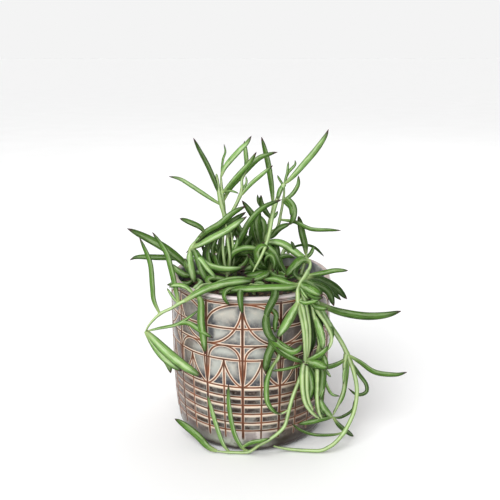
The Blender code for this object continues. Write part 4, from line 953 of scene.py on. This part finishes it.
def baked_by(tree, thing, name, **inputs):
    """Runs a node tree on an object, keeps the result as a plain mesh and removes the modifier."""
    modifier = thing.modifiers.new(tree.name, "NODES")
    modifier.node_group = tree
    sockets = {s.name: s.identifier for s in tree.interface.items_tree
               if s.item_type == "SOCKET" and s.in_out == "INPUT"}
    for key, value in inputs.items():
        modifier[sockets[key.replace("_", " ")]] = value
    bpy.context.view_layer.update()
    graph = bpy.context.evaluated_depsgraph_get()
    mesh = bpy.data.meshes.new_from_object(thing.evaluated_get(graph))
    mesh.name = name
    thing.modifiers.clear()
    bpy.data.objects.remove(thing)
    if not len(mesh.polygons):
        raise RuntimeError("nothing was made for " + name)
    return mesh


# The soil

def soil_dips(x, y):
    """How far the crumbly top of the soil stands above or below its even height."""
    large = noise.noise(Vector((x * 95.0, y * 95.0, 0.3)))
    small = noise.noise(Vector((x * 420.0, y * 420.0, 2.7)))
    tiny = noise.noise(Vector((x * 1300.0, y * 1300.0, 5.1)))
    return 0.0010 * large + 0.0007 * small + 0.00035 * tiny - 0.0006


def soil_rows():
    """The rings of the soil's crumbly top, from its middle outward, and those of its side and underside."""
    radius = INNER_RADIUS - SOIL_GAP
    turn = np.arange(SOIL_COLUMNS) * 2 * math.pi / SOIL_COLUMNS
    top = [[(0.0, 0.0, SOIL_HEIGHT + soil_dips(0.0, 0.0))]]
    for reach in np.linspace(0.0, radius, SOIL_RINGS)[1:]:
        row = []
        for angle in turn:
            x, y = reach * math.sin(angle), -reach * math.cos(angle)
            edge = 0.0008 * max(0.0, (reach - 0.045) / 0.006)
            row.append((x, y, SOIL_HEIGHT + soil_dips(x, y) - edge))
        top.append(row)
    under = POT_FLOOR + SOIL_GAP
    below = []
    for reach, height in ((radius, 0.09), (radius, 0.05), (radius, 0.0125), (INNER_RADIUS - 0.0056, under)):
        below.append([(reach * math.sin(a), -reach * math.cos(a), height) for a in turn])
    return top, [*below, [(0.0, 0.0, under)]]


def earth_material(name, dark, light, grit_colour, scale):
    """Damp potting mix: dark crumb with paler fibres and grit."""
    material, shader, bench = new_material(name)
    crumb = bench.grain(scale, 6.0, 0.65)
    grit = bench.put("ShaderNodeTexVoronoi", bench.own_place(), scale * 1.8)
    colour = bench.colour(bench.step(crumb, 0.35, 0.68), dark, light)
    colour = bench.colour(bench.step(grit, 0.05, 0.16, 0.5, 0.0), colour, grit_colour)
    give_finish(bench, shader, colour, bench.step(crumb, 0.3, 0.7, 0.72, 0.98), crumb, 0.6, 0.0008)
    return material


def chip_mesh(name, size):
    """A flat angular chip of bark with a few dozen faces."""
    # Without a seed this noise would start from the clock and give another chip each run
    noise.seed_set(CHIP_SHAPE_SEED)
    mesh = bpy.data.meshes.new(name)
    work = bmesh.new()
    bmesh.ops.create_icosphere(work, subdivisions=1, radius=size)
    for vert in work.verts:
        shift = noise.noise_vector(vert.co * 900.0)
        vert.co = Vector((vert.co.x * 1.25, vert.co.y * 0.8, vert.co.z * 0.38)) + shift * size * 0.32
    work.to_mesh(mesh)
    work.free()
    return mesh


def crumb_tree(material):
    """Strews chips over a surface: their number, size and seed are inputs."""
    tree, bench, given = new_tree("strewn_chips", Chip="Object", Chips_per_square_metre="Float",
                                  Smallest="Float", Largest="Float", Seed="Int")
    points = bench.put("GeometryNodeDistributePointsOnFaces", given["Geometry"], None,
                       given["Chips per square metre"], given["Seed"])
    *_, chip = bench.outputs("GeometryNodeObjectInfo", given["Chip"])
    spin = bench.put("FunctionNodeRandomValue", (-CHIP_TILT, -CHIP_TILT, 0.0),
                     (CHIP_TILT, CHIP_TILT, CHIP_TURN), None, given["Seed"], data_type="FLOAT_VECTOR")
    turned = bench.put("FunctionNodeEulerToRotation", spin)
    scale = bench.put("FunctionNodeRandomValue", given["Smallest"], given["Largest"], None, CHIP_SIZE_SEED)
    strewn = bench.put("GeometryNodeInstanceOnPoints", points, None, chip, None, None, turned, scale)
    close_tree(bench, strewn, material)
    return tree


class FISHHOOKS_OT_soil(bpy.types.Operator):
    """Fill the pot with potting mix and strew bark over it"""

    bl_idname = "fishhooks.soil"
    bl_label = "Potting Mix and Bark"

    def execute(self, context):
        soil = context.scene.fishhooks_soil
        objects = context.scene.collection.objects
        top, below = soil_rows()
        mix = earth_material("potting_mix", soil.soil_colour, soil.fibre_colour, soil.grit_colour, 420.0)
        piece = finished("potting_mix", mesh_of_rows("potting_mix", top + below), mix)
        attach(piece, "root")
        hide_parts("soil")
        # The chips lie on the top without its outermost ring, which is close to the wall
        surface = bpy.data.objects.new("soil_surface", mesh_of_rows("soil_surface", top[:-1]))
        objects.link(surface)
        chip = bpy.data.objects.new("bark_chip", chip_mesh("bark_chip", CHIP_SIZE))
        objects.link(chip)
        bark = earth_material("bark", soil.bark_colour, soil.bark_light_colour, soil.grit_colour, 300.0)
        strewn = baked_by(crumb_tree(bark), surface, "bark_bits", Chip=chip,
                          Chips_per_square_metre=soil.chips_per_square_metre, Smallest=0.5, Largest=2.3,
                          Seed=CHIP_SEED)
        bpy.data.objects.remove(chip)
        piece = finished("bark_bits", strewn, bark)
        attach(piece, "root")
        return {"FINISHED"}


# The plant

def from_board(point):
    """A point of the plan in space, on the eye's line through its place on the board."""
    across, up, toward = point
    board = Vector((across * BOARD_SQUARE, 0.0, BOARD_HEIGHT))
    board += up * BOARD_SQUARE * Vector((0.0, math.sin(EYE_TILT), math.cos(EYE_TILT)))
    line = board - EYE
    return EYE + line * ((-0.001 * toward - EYE.y) / line.y)


def apparent_size(point):
    """How much larger than on the board a thing at this point is for the same drawn width."""
    sight = Vector((0.0, math.cos(EYE_TILT), -math.sin(EYE_TILT)))
    return (point - EYE).dot(sight) / EYE_DISTANCE


def smooth_path(points):
    """Closely spaced points along a smooth curve through the given points."""
    knots = np.array([tuple(p) for p in points])
    if len(knots) == 2:
        return np.linspace(knots[0], knots[1], PATH_STEPS + 1)
    padded = np.vstack([2 * knots[0] - knots[1], knots, 2 * knots[-1] - knots[-2]])
    fine = []
    for i in range(1, len(padded) - 2):
        before, start, end, after = padded[i - 1:i + 3]
        for step in np.linspace(0, 1, PATH_STEPS, endpoint=False):
            bend = 2 * before - 5 * start + 4 * end - after
            twist = 3 * (start - end) + after - before
            fine.append(0.5 * (2 * start + (end - before) * step + bend * step**2 + twist * step**3))
    fine.append(knots[-1])
    return np.array(fine)


def facing_along(path, wanted):
    """A direction square to the path at each point, which turns little and looks the wanted way."""
    steps = np.gradient(path, axis=0)
    ahead = steps / np.linalg.norm(steps, axis=1)[:, None]
    start = np.cross(ahead[0], (0.31, 0.52, 0.79))
    frames = [start / np.linalg.norm(start)]
    for way in ahead[1:]:
        level = frames[-1] - way * (frames[-1] @ way)
        frames.append(level / np.linalg.norm(level))
    frames = np.array(frames)
    across = np.cross(ahead, frames)
    toward = wanted / np.linalg.norm(wanted, axis=1)[:, None]
    cosine, sine = (toward * frames).sum(1), (toward * across).sum(1)
    angle = 0.5 * math.atan2((2 * cosine * sine).sum(), (cosine**2 - sine**2).sum())
    facing = math.cos(angle) * frames + math.sin(angle) * across
    return facing if (facing * toward).sum() > 0 else -facing


def strand_lines(name, root, strands, on_board, random):
    """The strands of one stem as lines of points, each with its girth and what its finish needs to know."""
    foot = np.array((root[0] * 0.001, root[1] * 0.001, SOIL_HEIGHT - HOLE_DEPTH))
    collar = foot + np.array((0.0, 0.0, HOLE_DEPTH + COLLAR_RISE))
    low, high = STEM_TONES.get(name, OTHER_TONES)
    made = []
    for order, (kind, width, plan, *tone) in enumerate(strands):
        if on_board:
            points = [from_board(p) for p in plan]
            radius = 0.5 * width * BOARD_SQUARE * apparent_size(points[len(points) // 2])
        else:
            points = [Vector(p) * 0.001 for p in plan]
            radius = 0.0005 * width * (0.7 if kind == "leaf" else 1.0)
        path = smooth_path(points if order else [collar] + points)
        if not order:
            path = np.vstack([foot, path])
        # Leaves show their face to the eye, or outward at the back, and a little upward
        wanted = np.array(EYE) - path if on_board else path * (1.0, 1.0, 0.0) + (0.0, 0.0, 0.02)
        wanted = wanted / np.linalg.norm(wanted, axis=1)[:, None] + (0.0, 0.0, 0.35)
        made.append({"kind": kind, "path": path, "radius": radius, "facing": facing_along(path, wanted),
                     "tone": tone[0] if tone else low + (high - low) * random.random()})
    bases = np.array([s["path"][0] for s in made[1:]])
    for strand in made:
        path = strand["path"]
        length = np.concatenate([[0], np.cumsum(np.linalg.norm(np.diff(path, axis=0), axis=1))])
        strand["along"] = length / length[-1]
        girth = np.full(len(path), strand["radius"])
        # A stem is swollen where its leaves and branches leave it
        if strand["kind"] == "stem" and len(bases):
            near = np.linalg.norm(path[:, None, :] - bases[None, :, :], axis=2).min(1)
            girth *= 1.0 + 0.22 * np.exp(-((near / NODE_REACH) ** 2))
        strand["girth"] = girth
        strand["tone"] = np.full(len(path), strand["tone"])
        strand["leafy"] = np.full(len(path), float(strand["kind"] == "leaf"))
    return made


def line_mesh(name, strands):
    """The strands as loose edges that carry their numbers, for the node tree."""
    mesh = bpy.data.meshes.new(name)
    edges, start = [], 0
    for strand in strands:
        count = len(strand["path"])
        edges += [(start + i, start + i + 1) for i in range(count - 1)]
        start += count
    mesh.from_pydata(np.vstack([s["path"] for s in strands]).tolist(), edges, [])
    for key in ("along", "girth", "leafy", "tone"):
        keep_on_points(mesh, key, np.concatenate([s[key] for s in strands]))
    keep_on_points(mesh, "facing", np.vstack([s["facing"] for s in strands]), "FLOAT_VECTOR")
    return mesh


def outline_curve(bench, along, stops):
    """A float curve node through the given stops."""
    node = bench.new("ShaderNodeFloatCurve")
    bench.fill(node.inputs["Value"], along)
    points = node.mapping.curves[0].points
    while len(points) < len(stops):
        points.new(0.5, 0.5)
    for point, (x, y) in zip(points, stops):
        point.location = (x, y)
        point.handle_type = "AUTO_CLAMPED"
    node.mapping.update()
    return node.outputs[0]


def strand_tree(material):
    """Swells lines into fleshy leaves and round stems: sides, spacing, flatness and stoutness are inputs."""
    tree, bench, given = new_tree("fleshy_strands", Sides="Int", Ring_spacing="Float", Leaf_thickness="Float",
                                  Leaf_stoutness="Float")
    resample = bench.new("GeometryNodeResampleCurve")
    resample.mode = "LENGTH"
    bench.fill(resample.inputs["Curve"], bench.put("GeometryNodeMeshToCurve", given["Geometry"]))
    bench.fill(resample.inputs["Length"], given["Ring spacing"])
    plain = bench.put("GeometryNodeSetCurveRadius", resample.outputs[0], None, 1.0)
    facing = bench.put("GeometryNodeInputNamedAttribute", "facing", data_type="FLOAT_VECTOR")
    turned = bench.put("GeometryNodeSetCurveNormal", plain, None, facing, mode="FREE")
    along, girth, leafy = (bench.put("GeometryNodeInputNamedAttribute", key, data_type="FLOAT")
                           for key in ("along", "girth", "leafy"))
    is_leaf = bench.put("FunctionNodeCompare", leafy, 0.5, operation="GREATER_THAN")
    leaf_lines, stem_lines = bench.outputs("GeometryNodeSeparateGeometry", turned, is_leaf, domain="CURVE")
    # The section keeps where on it a point lies: how far to its face and how far to its side
    circle = bench.put("GeometryNodeCurvePrimitiveCircle", given["Sides"], 1.0)
    x, y, _ = bench.outputs("ShaderNodeSeparateXYZ", bench.put("GeometryNodeInputPosition"))
    section = bench.put("GeometryNodeStoreNamedAttribute", circle, None, "face", x, data_type="FLOAT")
    section = bench.put("GeometryNodeStoreNamedAttribute", section, None, "side", y, data_type="FLOAT")
    scale = bench.put("ShaderNodeCombineXYZ", given["Leaf thickness"], 1.0, 1.0)
    flat = bench.put("GeometryNodeTransform", section, None, None, scale)
    leaf_size = bench.times(girth, outline_curve(bench, along, LEAF_OUTLINE), given["Leaf stoutness"])
    stem_size = bench.times(girth, outline_curve(bench, along, STEM_OUTLINE))
    leaves = bench.put("GeometryNodeCurveToMesh", leaf_lines, flat, leaf_size, True)
    stems = bench.put("GeometryNodeCurveToMesh", stem_lines, section, stem_size, True)
    both = bench.new("GeometryNodeJoinGeometry")
    for half in (stems, leaves):
        bench.fill(both.inputs[0], half)
    close_tree(bench, bench.put("GeometryNodeSetShadeSmooth", both.outputs[0], None, True), material)
    return tree


def leaf_green(bench, marks, plant):
    """The green of a leaf, by its own tone, which is partly painted shade, with streaks, veins, a pale window
    with a painted highlight, painted shade on its edges and far side, and a dried point.
    """
    leaf = bench.colour(bench.step(marks.tone, 0.0, 0.65), plant.deep_leaf_colour, plant.leaf_colour)
    leaf = bench.colour(bench.step(marks.tone, 0.65, 1.0, 0.0, 0.7), leaf, plant.light_leaf_colour)
    leaf = bench.colour(bench.step(marks.mottle, 0.45, 0.7, 0.0, 0.4), leaf, plant.deep_leaf_colour)
    # Painted shade along the edges of a leaf
    leaf = bench.colour(bench.step(marks.off_middle, 0.5, 0.95, 0.0, 0.7), leaf, plant.deep_leaf_colour)
    pale = bench.scaled(marks.tone, 0.5, 0.1)
    veins = bench.math("PINGPONG", bench.scaled(marks.streak, 1.3, bench.times(marks.side, 4.2)), 0.5)
    for share in (bench.step(marks.streak, 0.45, 0.7), bench.step(veins, 0.16, 0.02)):
        leaf = bench.colour(bench.times(share, pale), leaf, plant.light_leaf_colour)
    # The pale window, with a painted highlight where the leaf faces the front and lighter on lighter leaves,
    # wanders from side to side and differs from leaf to leaf
    own = bench.scaled(bench.math("SINE", bench.times(marks.tone, 97.0)), 0.3, marks.side)
    wander = bench.unsigned(bench.math("ADD", own, bench.scaled(marks.streak, 1.6, -0.8)))
    lit = bench.times(bench.step(wander, 0.05, 0.42, 1.0, 0.0), bench.step(marks.face, 0.2, 0.9),
                      bench.scaled(marks.tone, 0.62, 0.04))
    leaf = bench.colour(lit, leaf, plant.window_highlight_colour)
    # Painted shade on the side of a leaf turned away from the front
    leaf = bench.colour(bench.step(marks.face, 0.1, -0.8, 0.0, 0.5), leaf, plant.deep_leaf_colour)
    # Its base is pale like the stem, and its end dark before the dried point
    leaf = bench.colour(bench.step(marks.along, 0.0, 0.22, 0.85, 0.0), leaf, plant.stem_colour)
    leaf = bench.colour(bench.step(marks.along, 0.78, 0.94, 0.0, 0.6), leaf, plant.deep_leaf_colour)
    return bench.colour(bench.step(marks.along, 0.91, 0.98), leaf, plant.tip_colour)


def stem_green(bench, marks, plant):
    """The pale green of a stem, with streaks, painted shade on its sides and a painted highlight along it."""
    stem = bench.colour(bench.step(marks.streak, 0.3, 0.7), plant.stem_colour, plant.light_leaf_colour)
    stem = bench.colour(bench.step(marks.mottle, 0.5, 0.7, 0.0, 0.4), stem, plant.stem_shade_colour)
    # Painted shade on the sides of a stem
    stem = bench.colour(bench.step(marks.off_middle, 0.5, 1.0, 0.0, 0.55), stem, plant.stem_shade_colour)
    # Painted highlight along the middle of a stem where it faces the front
    stem_highlight = bench.times(bench.step(marks.off_middle, 0.1, 0.6, 0.45, 0.0), bench.step(marks.face, 0.2, 0.9))
    return bench.colour(stem_highlight, stem, plant.stem_highlight_colour)


def plant_material(plant):
    """Fleshy green: fine lengthwise lines, a pale window with a painted highlight along the leaf, painted shade
    on edges and sides, and a dark dried point.
    """
    material, shader, bench = new_material("fleshy_green", Subsurface_Weight=0.06, Subsurface_Scale=0.002,
                                           Specular_IOR_Level=0.07)
    marks = SimpleNamespace(**{key: bench.attribute(key) for key in ("along", "side", "face", "tone")})
    lines = bench.put("ShaderNodeCombineXYZ", bench.scaled(marks.tone, 37.0, bench.times(marks.side, 2.6)),
                      bench.times(marks.face, 2.0), bench.times(marks.along, 2.5))
    marks.streak = bench.grain(2.2, 4.0, 0.6, place=lines)
    marks.mottle = bench.grain(150.0, 3.0)
    marks.off_middle = bench.unsigned(marks.side)
    green = bench.colour(bench.attribute("leafy"), stem_green(bench, marks, plant),
                         leaf_green(bench, marks, plant))
    give_finish(bench, shader, green, bench.step(marks.mottle, 0.3, 0.7, 0.34, 0.52),
                marks.streak, 0.5, 0.0005)
    return material


class FISHHOOKS_OT_stems(bpy.types.Operator):
    """Grow every leafy stem along its plan"""

    bl_idname = "fishhooks.stems"
    bl_label = "Leafy Stems"

    def execute(self, context):
        plant = context.scene.fishhooks_plant
        material = plant_material(plant)
        tree = strand_tree(material)
        random = np.random.default_rng(TONE_SEED)
        for name, (root, strands) in {**STEMS, **BACK_STEMS}.items():
            strands = strands + EXTRA_STRANDS.get(name, ())
            lines = strand_lines(name, root, strands, name in STEMS, random)
            guide = bpy.data.objects.new(name + "_lines", line_mesh(name + "_lines", lines))
            context.scene.collection.objects.link(guide)
            mesh = baked_by(tree, guide, name + "_leafy", Sides=plant.sides, Ring_spacing=plant.ring_spacing,
                            Leaf_thickness=plant.leaf_thickness, Leaf_stoutness=plant.leaf_stoutness)
            piece = finished(name + "_leafy", mesh, material)
            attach(piece, "root")
            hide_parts(name)
        return {"FINISHED"}


# The stage

def pale_floor(stage):
    """A wide pale floor, faintly uneven in tone, just under the pot."""
    mesh = bpy.data.meshes.new("floor")
    corners = [(x * FLOOR_REACH, y * FLOOR_REACH, 0) for x, y in ((-1, -1), (1, -1), (1, 1), (-1, 1))]
    mesh.from_pydata(corners, [], [(0, 1, 2, 3)])
    material, shader, bench = new_material("pale_floor", Roughness=0.9)
    colour = bench.colour(bench.grain(9.0, 2.0), stage.floor_colour, stage.light_floor_colour)
    bench.fill(shader.inputs["Base Color"], colour)
    floor = finished("floor", mesh, material)
    floor.location.z = CAD_LOW.z - FLOOR_DROP
    return floor


def soft_daylight(stage):
    """A white world that is brighter low down than high up."""
    world = bpy.data.worlds.new("soft_daylight")
    world.use_nodes = True
    sky = world.node_tree.nodes["Background"]
    sky.inputs["Color"].default_value = (1.0, 1.0, 1.0, 1.0)
    bench = Bench(world.node_tree)
    _, _, rise = bench.outputs("ShaderNodeSeparateXYZ", bench.put("ShaderNodeTexCoord"))
    strength = bench.step(rise, 0.14, 0.5, stage.horizon_strength, stage.sky_strength)
    bench.fill(sky.inputs["Strength"], strength)
    return world


def add_light(name, kind, place, size, power):
    """A light that looks at the middle of the pot. A sun's size is an angle, and another's is a length."""
    data = bpy.data.lights.new(name, kind)
    setattr(data, "angle" if kind == "SUN" else "size", size)
    data.energy = power
    lamp = bpy.data.objects.new(name, data)
    lamp.location = place
    lamp.rotation_euler = (LIGHT_AIM - Vector(place)).to_track_quat("-Z", "Y").to_euler()
    bpy.context.scene.collection.objects.link(lamp)


def add_camera(stage):
    """The camera at the eye of the drawing board."""
    data = bpy.data.cameras.new("camera")
    data.lens = stage.lens
    data.sensor_width = SENSOR_WIDTH
    data.shift_x = CAMERA_SHIFT
    data.clip_start = 0.01
    camera = bpy.data.objects.new("camera", data)
    camera.location = EYE
    camera.rotation_euler = (math.pi / 2 - EYE_TILT, 0.0, 0.0)
    bpy.context.scene.collection.objects.link(camera)
    bpy.context.scene.camera = camera


class FISHHOOKS_OT_stage(bpy.types.Operator):
    """Lay the pale floor and set the soft lights and the camera"""

    bl_idname = "fishhooks.stage"
    bl_label = "Stage"

    def execute(self, context):
        stage = context.scene.fishhooks_stage
        pale_floor(stage)
        context.scene.world = soft_daylight(stage)
        add_light("key", "SUN", (-0.62, -1.05, 1.25), math.radians(45.0), stage.key_strength)
        add_light("fill", "AREA", (1.1, 0.9, 0.9), 1.1, stage.fill_power)
        add_light("top", "AREA", (0.1, 0.5, 1.5), 1.2, stage.top_power)
        add_camera(stage)
        context.scene.view_settings.view_transform = "Standard"
        return {"FINISHED"}


# Settings and the panel

def colour_of(name, description, red, green, blue):
    """A colour that the user can change."""
    return FloatVectorProperty(name=name, description=description, default=paint(red, green, blue), size=3,
                               min=0.0, max=1.0, subtype="COLOR")


class PotSettings(bpy.types.PropertyGroup):
    """Sizes and colours of the pot"""

    columns_in_panel: IntProperty(name="Columns in a Panel", description="Mesh columns in each of the panels",
                                  default=28, min=4, max=60)
    ridge: FloatProperty(name="Ridge", description="How far the lines stand out", default=RIDGE, min=0.0,
                         max=0.003, unit="LENGTH")
    glaze_colour: colour_of("Glaze", "The thin glaze on the tiles", 174, 177, 170)
    warm_glaze_colour: colour_of("Warm Glaze", "Warmer patches of the thin glaze", 190, 170, 150)
    pool_colour: colour_of("Pooled Glaze", "The glaze where it runs thick", 50, 37, 33)
    blue_pool_colour: colour_of("Blue Pooled Glaze", "Thick glaze on the large tiles", 58, 60, 68)
    halo_colour: colour_of("Halo", "The pale glaze beside the lines", 252, 229, 206)
    line_colour: colour_of("Line", "The bare clay on the lines", 84, 51, 34)
    rust_colour: colour_of("Rust", "Redder stretches of the lines", 126, 74, 46)
    deep_line_colour: colour_of("Bold Line", "The bare clay on the bold lines", 78, 48, 34)
    neck_colour: colour_of("Neck", "The band under the lip", 178, 158, 150)
    inside_colour: colour_of("Inside", "The glaze inside the pot", 112, 112, 120)
    lip_colour: colour_of("Lip", "The lip of the pot", 220, 208, 206)
    foot_colour: colour_of("Foot", "The plain band at the foot", 184, 188, 174)


class SoilSettings(bpy.types.PropertyGroup):
    """The potting mix"""

    chips_per_square_metre: FloatProperty(name="Chips", description="Bark chips strewn on a square metre",
                                          default=70000.0, min=0.0)
    soil_colour: colour_of("Soil", "Damp peat", 22, 18, 13)
    fibre_colour: colour_of("Fibre", "Paler fibres", 52, 41, 30)
    grit_colour: colour_of("Grit", "Specks of grit", 128, 104, 82)
    bark_colour: colour_of("Bark", "Bark chips", 62, 45, 34)
    bark_light_colour: colour_of("Pale Bark", "The pale side of a chip", 120, 94, 70)


class PlantSettings(bpy.types.PropertyGroup):
    """Shape and colours of the leaves and stems"""

    sides: IntProperty(name="Sides", description="Sides of a leaf or stem", default=14, min=6, max=32)
    ring_spacing: FloatProperty(name="Ring Spacing", description="Distance between rings of vertices",
                                default=0.0012, min=0.0003, unit="LENGTH")
    leaf_thickness: FloatProperty(name="Leaf Thickness", description="Thickness of a leaf against its width",
                                  default=0.62, min=0.3, max=1.0, subtype="FACTOR")
    leaf_stoutness: FloatProperty(name="Leaf Stoutness", description="Width of the leaves against the plan",
                                  default=1.02, min=0.5, max=1.5, subtype="FACTOR")
    deep_leaf_colour: colour_of("Deep Leaf", "Leaves in the shade", 26, 48, 9)
    leaf_colour: colour_of("Leaf", "Leaves in the light", 83, 124, 43)
    light_leaf_colour: colour_of("Light Leaf", "Streaks and the lightest leaves", 152, 190, 116)
    # The pale window along a leaf, with its painted highlight
    window_highlight_colour: colour_of("Window", "The pale band along a leaf", 211, 230, 184)
    stem_colour: colour_of("Stem", "Young stems", 160, 181, 118)
    stem_shade_colour: colour_of("Stem Shade", "The sides and older stretches of a stem", 70, 98, 40)
    # A painted highlight along a stem
    stem_highlight_colour: colour_of("Stem Light", "The clear band along a stem", 224, 234, 196)
    tip_colour: colour_of("Tip", "The dried point of a leaf", 70, 48, 52)


class StageSettings(bpy.types.PropertyGroup):
    """Floor, lights and lens"""

    floor_colour: colour_of("Floor", "The pale floor", 246, 246, 246)
    light_floor_colour: colour_of("Light Floor", "The lightest patches of the floor", 252, 252, 252)
    horizon_strength: FloatProperty(name="Horizon", description="Strength of the light from low all round",
                                    default=0.905, min=0.0)
    sky_strength: FloatProperty(name="Sky", description="Strength of the light from high all round",
                                default=0.34, min=0.0)
    key_strength: FloatProperty(name="Key Light", description="Strength of the light from the left",
                                default=2.65, min=0.0)
    fill_power: FloatProperty(name="Fill Light", description="Power of the light from the back right",
                              default=1.5, min=0.0, unit="POWER")
    top_power: FloatProperty(name="Top Light", description="Power of the light from behind and above",
                             default=5.0, min=0.0, unit="POWER")
    lens: FloatProperty(name="Lens", description="Focal length in millimetres",
                        default=LENS_IN_PIXELS / PHOTO_WIDTH * SENSOR_WIDTH, min=10.0)


class FISHHOOKS_PT_panel(bpy.types.Panel):
    """The pieces and their settings"""

    bl_label = "Potted String of Fishhooks"
    bl_space_type = "VIEW_3D"
    bl_region_type = "UI"
    bl_category = "Fishhooks"

    def draw(self, context):
        scene = context.scene
        pairs = ((scene.fishhooks_pot, FISHHOOKS_OT_pot), (scene.fishhooks_soil, FISHHOOKS_OT_soil),
                 (scene.fishhooks_plant, FISHHOOKS_OT_stems), (scene.fishhooks_stage, FISHHOOKS_OT_stage))
        for settings, operator in pairs:
            box = self.layout.box()
            box.operator(operator.bl_idname)
            for key in settings.__annotations__:
                box.prop(settings, key)


CLASSES = (PotSettings, SoilSettings, PlantSettings, StageSettings, FISHHOOKS_OT_pot, FISHHOOKS_OT_soil,
           FISHHOOKS_OT_stems, FISHHOOKS_OT_stage, FISHHOOKS_PT_panel)


SETTINGS = {"fishhooks_pot": PotSettings, "fishhooks_soil": SoilSettings, "fishhooks_plant": PlantSettings,
            "fishhooks_stage": StageSettings}


def register():
    for kind in CLASSES:
        bpy.utils.register_class(kind)
    for key, kind in SETTINGS.items():
        setattr(bpy.types.Scene, key, PointerProperty(type=kind))


def unregister():
    for key in SETTINGS:
        delattr(bpy.types.Scene, key)
    for kind in reversed(CLASSES):
        bpy.utils.unregister_class(kind)


def main():
    register()
    bpy.ops.fishhooks.pot()
    bpy.ops.fishhooks.soil()
    bpy.ops.fishhooks.stems()
    bpy.ops.fishhooks.stage()


if __name__ == "__main__":
    main()
